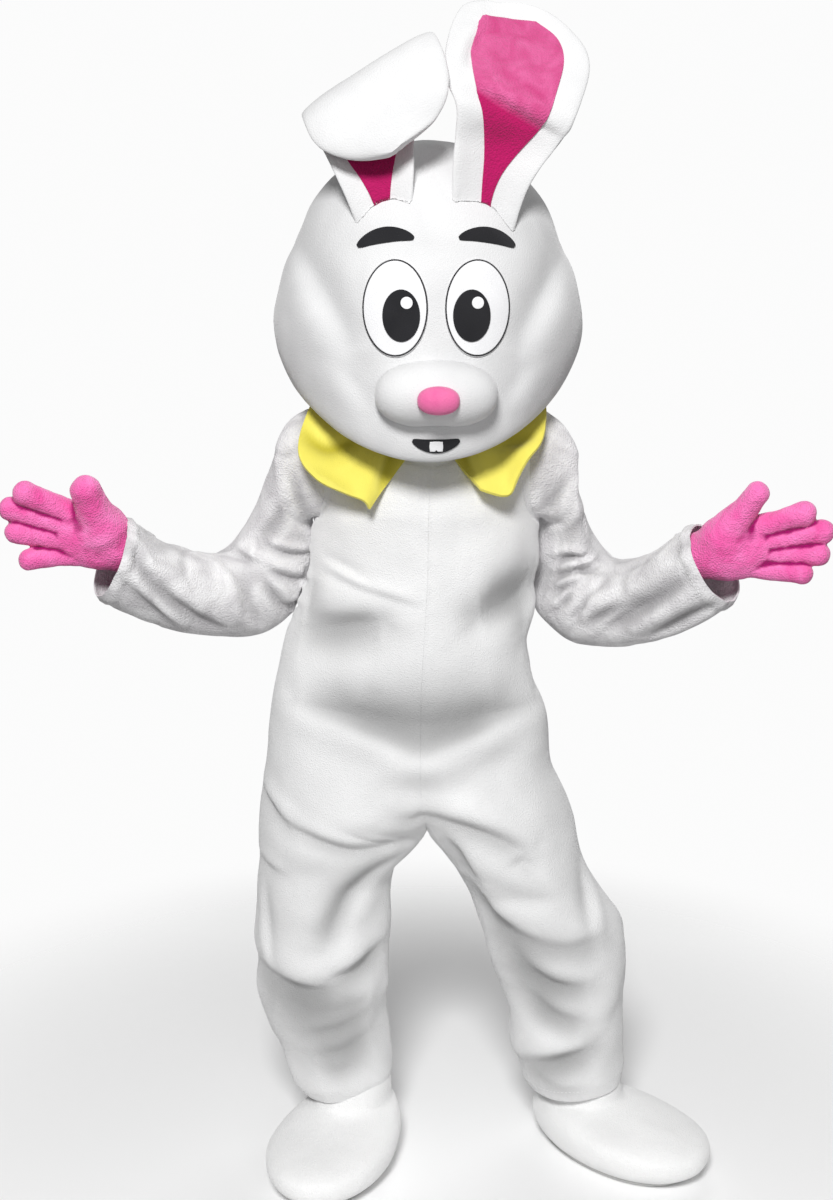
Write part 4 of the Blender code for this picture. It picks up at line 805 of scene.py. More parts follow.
# %% [markdown]
# ## Cutting the skin into its panels
# Now the folded skin is cut along its seams. Each panel steps back a hair from the seam, and gets
# its thickness: an inner face one cloth thickness inside the outer one, joined by a rim.

# %% Cut and thicken the panels
SHARP_TURN = math.radians(60)


def walled(name, points, normals, faces, thickness, finish, crease=None):
    """A closed wall: the given faces outside, the same faces a thickness inside them, and a rim."""
    count = len(points)
    inner = points - normals * thickness
    edges = {}
    for face in faces:
        for a, b in zip(face, face[1:] + face[:1]):
            edges[(a, b)] = edges.get((a, b), 0) + 1
    rim = [(b, a, a + count, b + count) for a, b in edges if (b, a) not in edges]
    inside = [tuple(i + count for i in reversed(face)) for face in faces]
    mesh = bpy.data.meshes.new(name)
    mesh.from_pydata(np.vstack((points, inner)).tolist(), [], [*faces, *inside, *rim])
    mesh.validate()
    mesh.materials.append(finish)
    mesh.shade_smooth()
    mesh.set_sharp_from_angle(angle=SHARP_TURN)
    # the outer face carries the painted shade as its "crease" attribute; the inner face gets none
    if crease is not None:
        layer = mesh.attributes.new("crease", "FLOAT", "POINT")
        layer.data.foreach_set("value", np.concatenate((crease, 0 * crease)))
    return add_object(name, mesh)


def panel(mesh, tag, name, thickness, finish, crease):
    """One panel of a tagged skin as a wall, a hair clear of its seams."""
    faces = [tuple(p.vertices) for p in mesh.polygons if p.material_index == tag]
    others = {i for p in mesh.polygons if p.material_index != tag for i in p.vertices}
    used = sorted({i for face in faces for i in face})
    place = {old: new for new, old in enumerate(used)}
    points, normals = points_of(mesh)[used], normals_of(mesh)[used]
    local = [tuple(place[i] for i in face) for face in faces]
    seam = {place[i] for i in used if i in others}
    pull = {i: np.zeros(3) for i in seam}
    for face in local:
        inward = [i for i in face if i not in seam]
        for i in face:
            if i in seam:
                for j in inward:
                    pull[i] += points[j] - points[i]
    for i, way in pull.items():
        length = np.linalg.norm(way)
        if length > 0:
            points[i] = points[i] + way / length * SEAM_GAP / 4
    return walled(name, points, normals, local, thickness, finish, crease[used])


def dress(piece, slot, *replaced):
    """The same steps for every piece: it rides on the costume and stands for a node; its slot is not used."""
    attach(piece, "root")
    if replaced:
        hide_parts(*replaced)
    return piece


for tag, name in enumerate(SUIT):
    slot, finish = ("sleeve_plush", sleeve_plush) if tag >= FIRST_SLEEVE else ("white_plush", white_plush)
    dress(panel(suit, tag, f"{name}_cloth", CLOTH, finish, suit_painted_shade), slot, name)

# %% [markdown]
# ## Floor
# A pale, plain floor. Its distance from the feet drives its alpha, so it fades out before it would
# draw a line behind the costume.

# %% Floor
FLOOR_HALF, FLOOR_DROP = 7.0, 0.0005
FADE_FROM, FADE_TO = 1.46, 2.1           # metres from the feet


def make_floor():
    mesh = bpy.data.meshes.new("floor")
    far, level = FLOOR_HALF, FLOOR_Z - FLOOR_DROP
    corners = [(-far, -far, level), (far, -far, level), (far, far, level), (-far, far, level)]
    mesh.from_pydata(corners, [], [(0, 1, 2, 3)])
    paper = bpy.data.materials.new("pale_floor")
    paper.use_nodes = True
    shader = paper.node_tree.nodes["Principled BSDF"]
    grain = wire(paper.node_tree, "ShaderNodeTexNoise", {"Scale": 3.0, "Detail": 2.0})
    tone = wire(
        paper.node_tree,
        "ShaderNodeMix",
        {0: grain.outputs[0], 6: (0.96, 0.96, 0.96, 1.0), 7: (0.94, 0.94, 0.94, 1.0)},
        data_type="RGBA",
    )
    place = wire(paper.node_tree, "ShaderNodeTexCoord").outputs["Object"]
    away = wire(paper.node_tree, "ShaderNodeVectorMath", {0: place}, operation="LENGTH")
    fade = wire(
        paper.node_tree,
        "ShaderNodeMapRange",
        {
            "Value": away.outputs["Value"],
            "From Min": FADE_FROM, "From Max": FADE_TO, "To Min": 1.0, "To Max": 0.0,
        },
        interpolation_type="SMOOTHSTEP",
    )
    paper.node_tree.links.new(fade.outputs[0], shader.inputs["Alpha"])
    paper.node_tree.links.new(tone.outputs[2], shader.inputs["Base Color"])
    shader.inputs["Roughness"].default_value = 0.9
    mesh.materials.append(paper)
    add_object("floor", mesh)


make_floor()

# %% [markdown]
# ## The head
# The head is a shell of foam about twelve millimetres thick with plush stretched over it. It is one
# smooth dome with full cheeks. A soft crease runs on each side from the temple down in front of the
# cheek, where the plush is pulled in. We smooth its skin, press those creases, paint shade into
# them, and thicken it.

# %% Make the head
HEAD_WALL = 0.012
# painted shade in the head's creases: how dark at most, and how deep a crease must be for it
HEAD_CREASE_SHADE, HEAD_CREASE = 0.30, 0.012
HEAD_WAVES = (Wave(0.0016, 8.0, 5), Wave(0.0007, 26.0, 6))
HEAD_FOLDS = (
    Fold("temple left", FRONT, ((240, 318), (214, 275), (186, 225), (160, 178), (148, 140)), 23, 13, 5, EAST),
    Fold("temple right", FRONT,
        ((-226, 318), (-198, 275), (-168, 225), (-140, 178), (-128, 140)),
        23, 13, 5, WEST,
    ),
    Fold("jowl left", FRONT, ((168, 120), (140, 88), (122, 50)), 18, 5, 3, EAST),
    Fold("jowl right", FRONT, ((-146, 120), (-116, 88), (-98, 50)), 18, 5, 3, WEST),
    Fold("brow hollow", FRONT, ((-60, 300), (0, 312), (72, 302)), 24, 2, 2, UP),
)


def head_cloth():
    skin = smooth_through(to_mesh("head_skin", outer_skin("head", HEAD_WALL)), 3)
    points, normals = points_of(skin), normals_of(skin)
    tree = tree_of(skin)
    height = sum(fold_height(fold, tree, points) for fold in HEAD_FOLDS)
    crease = HEAD_CREASE_SHADE * np.clip(-height / HEAD_CREASE, 0, 1)
    height += waves(points, *HEAD_WAVES)
    set_points(skin, points + normals * height[:, None])
    return skin, crease


head_skin, head_painted_shade = head_cloth()
head_tree = tree_of(head_skin)
head_faces = [tuple(p.vertices) for p in head_skin.polygons]
dress(
    walled(
        "head_shell", points_of(head_skin), normals_of(head_skin), head_faces, HEAD_WALL,
        head_plush, head_painted_shade,
    ),
    "white_plush",
    "head",
)
print("head faces:", len(head_faces))

# %% [markdown]
# ## Laying felt on the face
# The eyes, brows, mouth and teeth are flat felt shapes sewn onto the head. Each is drawn as a loop
# in front of the face and dropped straight back onto the plush. Smaller copies of the loop fill it,
# and the outermost one turns down, so that the felt has a soft cut edge and lies on the curve.

# %% Felt helpers
FELT = 0.002
# share of the outline, share of the thickness: under the felt, round its edge and over its face
FELT_RINGS = (
    (0.02, 0.0), (0.5, 0.0), (0.97, 0.0), (1.0, 0.15), (1.0, 0.6), (0.975, 0.92), (0.93, 1.0),
    (0.8, 1.0), (0.6, 1.0), (0.4, 1.0), (0.2, 1.0), (0.02, 1.0),
)


def on_surface(tree, x, z):
    spot, normal, _, _ = tree.ray_cast(Vector((x, -1.0, z)), Vector((0, 1, 0)))
    return (spot, normal) if spot is not None else tree.find_nearest(Vector((x, -0.2, z)))[:2]


def closed_mesh(name, points, faces, finish):
    """A closed body with every face turned outward."""
    mesh = bpy.data.meshes.new(name)
    mesh.from_pydata(points, [], faces)
    shape = bmesh.new()
    shape.from_mesh(mesh)
    bmesh.ops.recalc_face_normals(shape, faces=shape.faces)
    shape.to_mesh(mesh)
    shape.free()
    mesh.materials.append(finish)
    mesh.shade_smooth()
    return mesh


def felt_shape(name, tree, loop, lift, thickness, finish):
    """A felt shape on a surface: loop(share) gives its outline drawn smaller toward its middle."""
    rings = []
    for share, height in FELT_RINGS:
        ring = []
        for x, z in loop(share):
            spot, normal = on_surface(tree, x, z)
            ring.append(spot + normal * (lift + thickness * height))
        rings.append(ring)
    count = len(rings[0])
    faces = [tuple(range(count)), tuple(reversed(range(len(rings) * count - count, len(rings) * count)))]
    for r in range(len(rings) - 1):
        for c in range(count):
            d = (c + 1) % count
            faces.append((r * count + c, (r + 1) * count + c, (r + 1) * count + d, r * count + d))
    return add_object(name, closed_mesh(name, [p for ring in rings for p in ring], faces, finish))


def oval_loop(x, z, half_width, half_height, count=72):
    def loop(share):
        turns = [2 * math.pi * i / count for i in range(count)]
        return [(x + share * half_width * math.cos(t), z + share * half_height * math.sin(t)) for t in turns]

    return loop


def arc_loop(x, z, radius, start, end, half_height, count=36):
    """A band along an arc with round ends, thickest in its middle."""
    def loop(share):
        points = []
        for i in range(2 * count):
            side = 1 if i < count else -1
            t = (i % count + 0.5) / count
            t = t if side > 0 else 1 - t
            turn = math.radians(start + (end - start) * t)
            swell = half_height * (0.35 + 0.65 * math.sin(math.pi * t))
            swell *= math.sqrt(max(0.0, 1 - (2 * t - 1) ** 12))
            r = radius + side * share * swell
            points.append((x + r * math.cos(turn), z + r * math.sin(turn)))
        return points

    return loop


# %% [markdown]
# ## The face
# The face is a friendly, plain one: tall white eyes with round black pupils and a small white glint
# on each, short curved brows, a small smile and two front teeth. Brows and mouth lie on the plush.
# Pupils and glints lie on the felt below them.

# %% Make the face
FACE_X = 0.012
EYE_X, EYE_Z, EYE_HALF = 0.066, 0.214, (0.053, 0.078)
PUPIL_X, PUPIL_Z, PUPIL_HALF = 0.056, 0.202, (0.030, 0.041)
GLINT_AWAY, GLINT_UP, GLINT_RADIUS = 0.009, 0.020, 0.0095
BROW_X, BROW_Z, BROW_RADIUS, BROW_HALF = 0.070, 0.236, 0.094, 0.0125
BROW_ARC, BROW_LEAN = (60, 120), 8       # degrees
MOUTH_Z, MOUTH_RADIUS, MOUTH_HALF, MOUTH_ARC = 0.070, 0.078, 0.0115, (240, 300)
TEETH_HALF, TEETH_TOP, TEETH_LOW, TEETH_POINTS = 0.0115, 0.001, -0.0165, 48
TEETH_SIZE, TEETH_CORNER = 0.96, 0.06
TEETH_NOTCH, TEETH_NOTCH_WIDTH, TEETH_NOTCH_FROM = 0.003, 0.0015, -0.6
GLINT_FELT = 0.0012
SECOND = LAID_GAP + FELT + LAID_GAP
THIRD = SECOND + FELT + LAID_GAP


def teeth_loop(share):
    """Two front teeth side by side: round lower corners and a small notch between them."""
    middle, half_height = (TEETH_TOP + TEETH_LOW) / 2, (TEETH_TOP - TEETH_LOW) / 2
    points = []
    for i in range(TEETH_POINTS):
        turn = 2 * math.pi * i / TEETH_POINTS
        c, s = math.cos(turn), math.sin(turn)
        stretch = 1 / max(abs(c), abs(s)) * (TEETH_SIZE - TEETH_CORNER * (abs(c * s) * 2) ** 3)
        x, z = TEETH_HALF * c * stretch, half_height * s * stretch
        if s < TEETH_NOTCH_FROM:
            z += TEETH_NOTCH * math.exp(-((x / TEETH_NOTCH_WIDTH) ** 2))
        points.append((FACE_X + share * x, middle + share * z))
    return points


def make_face():
    for side, sign in (("right", -1), ("left", 1)):
        loop = oval_loop(FACE_X + sign * EYE_X, EYE_Z, *EYE_HALF)
        eye = felt_shape(f"eye_felt_{side}", head_tree, loop, LAID_GAP, FELT, white_felt)
        dress(eye, "white_felt", f"eye_{side}")
        loop = oval_loop(FACE_X + sign * PUPIL_X, PUPIL_Z, *PUPIL_HALF)
        pupil = felt_shape(f"pupil_felt_{side}", head_tree, loop, SECOND, FELT, black_felt)
        dress(pupil, "black_felt", f"pupil_{side}")
        middle = FACE_X + sign * PUPIL_X + GLINT_AWAY
        loop = oval_loop(middle, PUPIL_Z + GLINT_UP, GLINT_RADIUS, GLINT_RADIUS, 32)
        glint = felt_shape(f"glint_{side}", head_tree, loop, THIRD, GLINT_FELT, white_felt)
        dress(glint, "white_felt")
        start, end = (angle - sign * BROW_LEAN for angle in BROW_ARC)
        loop = arc_loop(FACE_X + sign * BROW_X, BROW_Z, BROW_RADIUS, start, end, BROW_HALF)
        brow = felt_shape(f"brow_felt_{side}", head_tree, loop, LAID_GAP, FELT, black_felt)
        dress(brow, "black_felt", f"brow_{side}")
    loop = arc_loop(FACE_X, MOUTH_Z, MOUTH_RADIUS, *MOUTH_ARC, MOUTH_HALF, 48)
    mouth = felt_shape("mouth_felt", head_tree, loop, LAID_GAP, FELT, black_felt)
    dress(mouth, "black_felt", "mouth")
    dress(
        felt_shape("teeth_felt", head_tree, teeth_loop, SECOND, FELT, white_felt), "white_felt", "teeth"
    )


make_face()

# %% [markdown]
# ## Muzzle and nose
# The muzzle is a stuffed pad, and the nose a smaller one on it. Each begins as a smooth oval cushion
# with a shallow dip in its middle. Whatever would lie inside the piece behind is pressed back out
# to just above that piece's surface, so the pad sits snugly on it.

# %% Make muzzle and nose
MUZZLE_CENTRE, MUZZLE_HALF, MUZZLE_DIP = (FACE_X, -0.232, 0.076), (0.100, 0.060, 0.056), 0.10
NOSE_CENTRE, NOSE_HALF = (FACE_X + 0.003, -0.290, 0.071), (0.034, 0.020, 0.023)
DIP_WIDTH, FULLNESS = 0.35, 0.8


def cushion(name, centre, half, dip, rows, columns, finish):
    """An oval cushion whose poles lie at its two sides, with an optional dip between two cheeks."""
    points = [(centre[0] - half[0], centre[1], centre[2])]
    for r in range(1, rows):
        lean = math.pi * r / rows
        for c in range(columns):
            turn = 2 * math.pi * c / columns
            size = 1.0 - dip * math.exp(-((math.cos(lean) / DIP_WIDTH) ** 2)) * (1 - math.sin(turn)) / 2
            round_out = math.sin(lean) ** FULLNESS * size
            x = -half[0] * math.cos(lean)
            y, z = half[1] * round_out * math.cos(turn), half[2] * round_out * math.sin(turn)
            points.append((centre[0] + x, centre[1] + y, centre[2] + z))
    points.append((centre[0] + half[0], centre[1], centre[2]))
    last = len(points) - 1
    faces = []
    for c in range(columns):
        d = (c + 1) % columns
        faces.append((0, 1 + c, 1 + d))
        faces.append((last, last - columns + d, last - columns + c))
        for r in range(rows - 2):
            a, b = 1 + r * columns, 1 + (r + 1) * columns
            faces.append((a + c, b + c, b + d, a + d))
    return closed_mesh(name, points, faces, finish)


def press_out(mesh, tree, gap):
    """Moves the points that would lie in another piece to just above its surface."""
    points = points_of(mesh)
    for i, p in enumerate(points):
        spot, normal, _, _ = tree.find_nearest(Vector(p))
        if (Vector(p) - spot).dot(normal) < gap:
            points[i] = spot + normal * gap
    set_points(mesh, points)


muzzle_mesh = cushion("muzzle_pad", MUZZLE_CENTRE, MUZZLE_HALF, MUZZLE_DIP, 56, 72, head_plush)
press_out(muzzle_mesh, head_tree, LAID_GAP)
muzzle_tree = tree_of(muzzle_mesh)
nose_mesh = cushion("nose_pad", NOSE_CENTRE, NOSE_HALF, 0.0, 32, 40, nose_fleece)
press_out(nose_mesh, muzzle_tree, LAID_GAP)
dress(add_object("muzzle_pad", muzzle_mesh), "white_plush", "muzzle")
dress(add_object("nose_pad", nose_mesh), "nose_pink", "nose")

# %% [markdown]
# ## The ears
# Each ear is a thick padded leaf with a pink lining on its front. One folds forward over itself
# halfway up, the other stands and leans. We smooth the imported ears, and keep the root sharp where
# it meets the head by creasing those edges. The lining follows the smooth ear, with a soft edge. A
# darker pink is painted on it as shadow: all over the right lining, and below the crease on the left.

# %% Make the ears
LINING, LINING_PACKED = 0.0030, 0.002
# the lining is pinched above this height; its edge thins over this width; its pile lies unevenly
LINING_TOP, LINING_PINCH, LINING_EDGE = 0.610, 0.74, 0.006
LINING_FLUFF, LINING_FLUFF_SCALE = 0.0006, 70.0
# the crease across the standing ear, below which its lining is painted in shadow: height where it
# meets the middle plane, slope and softness
EAR_CREASE_HEIGHT, EAR_CREASE_SLOPE, EAR_CREASE_SOFT = 0.600, 0.59, 0.010
EAR_ROOT_TURN, EAR_ROOT_NEAR = math.radians(50), 0.006
EAR_WAVES = (Wave(0.0014, 16.0, 7), Wave(0.0005, 50.0, 8))
EAR_FOLDS = {
    "right": (),
    "left": (
        Fold("crease", FRONT, ((74, 556), (140, 520), (206, 482)), 9, 7, 6, UP),
        Fold("lobe", FRONT, ((62, 590), (74, 628), (96, 655)), 10, 5, 5, WEST),
    ),
}


def ear_cloth(side):
    shape = bmesh.new()
    shape.from_mesh(nodes[f"ear_{side}"].data)
    bmesh.ops.remove_doubles(shape, verts=shape.verts, dist=WELD)
    join_to_quads(shape)
    crease = shape.edges.layers.float.new("crease_edge")
    for edge in shape.edges:
        middle = (edge.verts[0].co + edge.verts[1].co) / 2
        if edge.calc_face_angle(0.0) > EAR_ROOT_TURN and head_tree.find_nearest(middle, EAR_ROOT_NEAR)[0]:
            edge[crease] = 1.0
    mesh = smooth_through(to_mesh(f"ear_{side}", shape), 3)
    points, normals = points_of(mesh), normals_of(mesh)
    height = waves(points, *EAR_WAVES)
    tree = tree_of(mesh)
    for fold in EAR_FOLDS[side]:
        height += fold_height(fold, tree, points) * (normals[:, 1] < 0.2)
    set_points(mesh, points + normals * height[:, None])
    press_out(mesh, head_tree, LAID_GAP)
    mesh.materials.clear()
    mesh.materials.append(head_plush)
    mesh.shade_smooth()
    return mesh


def lining_cloth(side, ear_tree):
    """The lining: a sheet on the ear's front, thinning to a soft edge and painted darker as shadow."""
    mesh = smooth_through(to_mesh("lining", outer_skin(f"ear_lining_{side}", LINING_PACKED)), 3)
    points = points_of(mesh)
    hems = edge_points(mesh).hems
    edge = distance_to(hems, points, 0.02)
    base, top, depth = [], [], []
    up = points[:, 2]
    points[:, 2] = np.where(up > LINING_TOP, LINING_TOP + LINING_PINCH * (up - LINING_TOP), up)
    for p, away in zip(points, edge):
        # painted shadow: the right lining takes it all over, the left one below the crease
        below = (EAR_CREASE_HEIGHT - p[2] - EAR_CREASE_SLOPE * p[0]) / EAR_CREASE_SOFT + 0.5
        depth.append(1.0 if side == "right" else min(1.0, max(0.0, below)))
        spot, normal, _, _ = ear_tree.find_nearest(Vector(p))
        full = math.sqrt(min(1.0, 0.15 + away / LINING_EDGE))
        fluff = LINING_FLUFF * noise.noise(Vector(p) * LINING_FLUFF_SCALE)
        base.append(spot + normal * LAID_GAP)
        top.append(spot + normal * (LAID_GAP + LINING * full + fluff * full))
    faces = [tuple(p.vertices) for p in mesh.polygons]
    outward = sum((normals_of(mesh)[i] @ np.array(top[i] - base[i])) for i in range(0, len(points), 7))
    if outward < 0:
        faces = [tuple(reversed(f)) for f in faces]
    thick = np.array([tuple(t - b) for t, b in zip(top, base)])
    top = np.array([tuple(t) for t in top])
    return walled(f"lining_{side}", top, thick, faces, 1.0, lining_plush, np.array(depth))


for side in ("right", "left"):
    ear_mesh = ear_cloth(side)
    dress(add_object(f"ear_pad_{side}", ear_mesh), "white_plush", f"ear_{side}")
    lining = lining_cloth(side, tree_of(ear_mesh))
    dress(lining, "pink_plush", f"ear_lining_{side}")
    print("ear", side, "faces:", len(ear_mesh.polygons), "lining faces:", len(lining.data.polygons))

# %% [markdown]
# ## The collar
# The collar is two wings of thick yellow felt that lie on the shoulders. Felt is stiff enough to
# arch between its edges and limp enough to roll, so each wing gets a few wide soft folds, with
# painted shade in their troughs.

# %% Make the collar
COLLAR_FELT = 0.005
COLLAR_FOLDS = {
    "right": (
        Fold("roll", FRONT, ((-214, 4), (-190, -16), (-165, -24), (-118, -10)), 11, 8, 6, UP),
        Fold("tip", FRONT, ((-58, -16), (-72, -55), (-82, -96)), 12, 7, 5, WEST),
        Fold("rim", FRONT, ((-206, -52), (-160, -78), (-118, -104)), 8, 3, 4, DOWN),
    ),
    "left": (
        Fold("inner", FRONT, ((52, -8), (66, -46), (82, -84)), 12, 7, 6, EAST),
        Fold("roll", FRONT, ((186, 2), (160, -14), (118, -24)), 12, 5, 4, DOWN),
    ),
}
# how deep a collar fold must be for its full painted shade, and how dark that shade is
COLLAR_CREASE, COLLAR_SHADE = 0.007, 0.8
COLLAR_WAVE = Wave(0.0010, 22.0, 9)
COLLAR_EDGE_DROP, COLLAR_EDGE_WIDTH = 0.0018, 0.004


def collar_cloth(side):
    mesh = smooth_through(to_mesh("collar", outer_skin(f"collar_{side}", COLLAR_FELT)), 3)
    points, normals = points_of(mesh), normals_of(mesh)
    tree = tree_of(mesh)
    suit_tree = tree_of(suit)
    away = 0.0
    for p, n in zip(points[::11], normals[::11]):
        away += n @ np.array(suit_tree.find_nearest(Vector(p))[1])
    faces = [tuple(p.vertices) for p in mesh.polygons]
    if away < 0:
        faces, normals = [tuple(reversed(f)) for f in faces], -normals
    height = sum(fold_height(fold, tree, points) for fold in COLLAR_FOLDS[side])
    crease = COLLAR_SHADE * np.clip(-height / COLLAR_CREASE, 0, 1)
    height += waves(points, COLLAR_WAVE)
    edge = distance_to(edge_points(mesh).hems, points, 0.03)
    height -= COLLAR_EDGE_DROP * np.exp(-((edge / COLLAR_EDGE_WIDTH) ** 2))
    points = points + normals * height[:, None]
    low = LAID_GAP + COLLAR_FELT
    for i, p in enumerate(points):
        spot, normal, _, _ = suit_tree.find_nearest(Vector(p))
        short = low - (Vector(p) - spot).dot(normal)
        if short > 0:
            points[i] = p + np.array(normal) * short
    return walled(f"collar_wing_{side}", points, normals, faces, COLLAR_FELT, yellow_felt, crease)


for side in ("right", "left"):
    dress(collar_cloth(side), "yellow_felt", f"collar_{side}")

# %% [markdown]
# ## The back placket
# A plain strip covers the opening down the centre back. It lies on the folded suit, so each of its
# points is set to just above the cloth below it.

# %% Make the placket
PLACKET_DENT, PLACKET_DENT_AWAY, PLACKET_DENT_WIDTH = 0.0008, 0.006, 0.0022


def placket_cloth():
    mesh = smooth_through(to_mesh("placket", outer_skin("back_placket", CLOTH)), 3)
    points, normals = points_of(mesh), normals_of(mesh)
    suit_tree = tree_of(suit)
    faces = [tuple(p.vertices) for p in mesh.polygons]
    if np.sum(normals[:, 1]) < 0:
        faces = [tuple(reversed(f)) for f in faces]
    top, up = [], []
    edge = distance_to(edge_points(mesh).hems, points, 0.02)
    for p, away in zip(points, edge):
        spot, normal, _, _ = suit_tree.find_nearest(Vector(p))
        dent = PLACKET_DENT * math.exp(-(((away - PLACKET_DENT_AWAY) / PLACKET_DENT_WIDTH) ** 2))
        up.append(tuple(normal))
        top.append(tuple(spot + normal * (LAID_GAP + CLOTH - dent)))
    return walled("placket_cloth", np.array(top), np.array(up), faces, CLOTH - PLACKET_DENT, white_plush)


dress(placket_cloth(), "white_plush", "back_placket")

# %% [markdown]
# ## The gloves
# A glove is thick plush over a hand that isn't there: a palm and five padded fingers in one skin.
# Each finger is a round tube, a little slimmer in its middle. A voxel remesh fuses the tubes, and
# the wrist is cut open so that the glove is hollow. The thumb's fuller root is smoothed until it
# runs into the palm. Points that lie lower than their surroundings are hollows, and the finish
# paints shade into them.

# %% Make the gloves
# metres from the wrist: along the hand, up and outward; swell is how much fuller the root is
Finger = namedtuple("Finger", "root_along root_up tip_along tip_up tip_out radius swell")
Hand = namedtuple("Hand", "wrist forearm along up fingers")
HANDS = {
    "right": Hand(
        (-0.548, -0.092, -0.1948), (-0.754, -0.371, 0.400), (-0.955, -0.20, 0.275), (0.20, -0.10, 0.97),
        (
            Finger(0.028, 0.026, 0.070, 0.092, 0.031, 0.0265, 0.80),
            Finger(0.085, 0.038, 0.166, 0.056, 0.014, 0.0215, 0.0),
            Finger(0.090, 0.013, 0.183, 0.021, 0.006, 0.0215, 0.0),
            Finger(0.085, -0.012, 0.165, -0.016, 0.012, 0.0205, 0.0),
            Finger(0.052, -0.034, 0.134, -0.056, 0.018, 0.0185, 0.0),
        ),
    ),
    "left": Hand(
        (0.487, -0.132, -0.2031), (0.655, -0.506, 0.222), (0.955, -0.22, 0.15), (-0.16, -0.04, 0.985),
        (
            Finger(0.020, 0.024, 0.089, 0.099, 0.022, 0.0210, 0.95),
            Finger(0.085, 0.036, 0.162, 0.054, 0.012, 0.0215, 0.0),
            Finger(0.095, 0.011, 0.187, 0.018, 0.006, 0.0215, 0.0),
            Finger(0.090, -0.012, 0.177, -0.019, 0.010, 0.0205, 0.0),
            Finger(0.060, -0.032, 0.147, -0.049, 0.016, 0.0185, 0.0),
        ),
    ),
}
# a section of the wrist or palm: way along the hand, half height, half depth and shift upward
Section = namedtuple("Section", "along high deep shift")
PALM = (
    Section(-0.070, 0.040, 0.037, 0.0),
    Section(-0.050, 0.040, 0.037, 0.0),
    Section(-0.015, 0.0435, 0.037, 0.0),
    Section(0.022, 0.053, 0.034, 0.0),
    Section(0.055, 0.055, 0.030, 0.002),
    Section(0.090, 0.048, 0.024, 0.004),
    Section(0.110, 0.034, 0.015, 0.004),
)
PALM_RINGS, PALM_SIDES = 19, 28
FINGER_RINGS, FINGER_SIDES = 9, 22
FINGER_ROOT, FINGER_WAIST, FINGER_TAPER, SWELL_POWER, TIP_ROUND = 1.04, 0.10, 0.04, 1.5, 0.98
ROOT_CAP, TIP_CAP = (-1.4, -0.3, 5), (0.2, 1.5, 7)      # from and to, in radians, and rings
GLOVE_WALL = 0.0025
WRIST_CUT = -0.050
VOXEL, EASE, EASE_ROUNDS = 0.0026, 0.5, 4
# how far round its root the thumb is blended into the palm, and how many times over
THUMB_FADE, THUMB_REACH, THUMB_ROUNDS = 2.2, 0.032, 36
GLOVE_WAVES = (Wave(0.0022, 26.0, 10), Wave(0.0009, 75.0, 11))
HOLLOW_ROUNDS, HOLLOW_DEPTH = 25, 0.0014


def tube(shape, rings):
    """Adds a closed body through rings of equal count, its ends shut."""
    count = len(rings[0])
    verts = [[shape.verts.new(p) for p in ring] for ring in rings]
    for lower, upper in zip(verts, verts[1:]):
        for c in range(count):
            shape.faces.new((lower[c], lower[(c + 1) % count], upper[(c + 1) % count], upper[c]))
    shape.faces.new(verts[0][::-1])
    shape.faces.new(verts[-1])


def hand_axes(hand):
    along = Vector(hand.along).normalized()
    up = Vector(hand.up)
    up = (up - along * up.dot(along)).normalized()
    out = along.cross(up)
    return Vector(hand.wrist), along, up, out if out.y < 0 else -out


def palm_rings(hand):
    """Sections from the wrist to the knuckles."""
    wrist, along, up, out = hand_axes(hand)
    forearm = Vector(hand.forearm).normalized()
    knots = np.array(PALM)
    turns = [2 * math.pi * k / PALM_SIDES for k in range(PALM_SIDES)]
    rings = []
    for s in np.linspace(knots[0, 0], knots[-1, 0], PALM_RINGS):
        high, deep, shift = (np.interp(s, knots[:, 0], knots[:, k]) for k in (1, 2, 3))
        middle = wrist + (along if s > 0 else forearm) * s + up * shift
        rings.append([middle + up * high * math.cos(t) + out * deep * math.sin(t) for t in turns])
    return rings


def finger_rings(hand, finger):
    """Sections of a finger: a round root, the finger itself and a round tip."""
    wrist, along, up, out = hand_axes(hand)
    root = wrist + along * finger.root_along + up * finger.root_up
    tip = wrist + along * finger.tip_along + up * finger.tip_up + out * finger.tip_out
    run = (tip - root).normalized()
    cross = run.cross(out).normalized()
    top = cross.cross(run)
    length = (tip - root).length
    body = []
    for s in np.linspace(0, 1, FINGER_RINGS):
        share = FINGER_ROOT - FINGER_WAIST * math.sin(math.pi * s) - FINGER_TAPER * s
        body.append((length * s, finger.radius * (share + finger.swell * (1 - s) ** SWELL_POWER)))
    start = body[0][1]
    profile = [(start * math.sin(a), start * math.cos(a)) for a in np.linspace(*ROOT_CAP)] + body
    for a in np.linspace(*TIP_CAP):
        profile.append((length + finger.radius * TIP_ROUND * math.sin(a), finger.radius * math.cos(a)))
    turns = [2 * math.pi * k / FINGER_SIDES for k in range(FINGER_SIDES)]
    return [
        [root + run * s + cross * r * math.cos(t) + top * r * math.sin(t) for t in turns]
        for s, r in profile
    ]


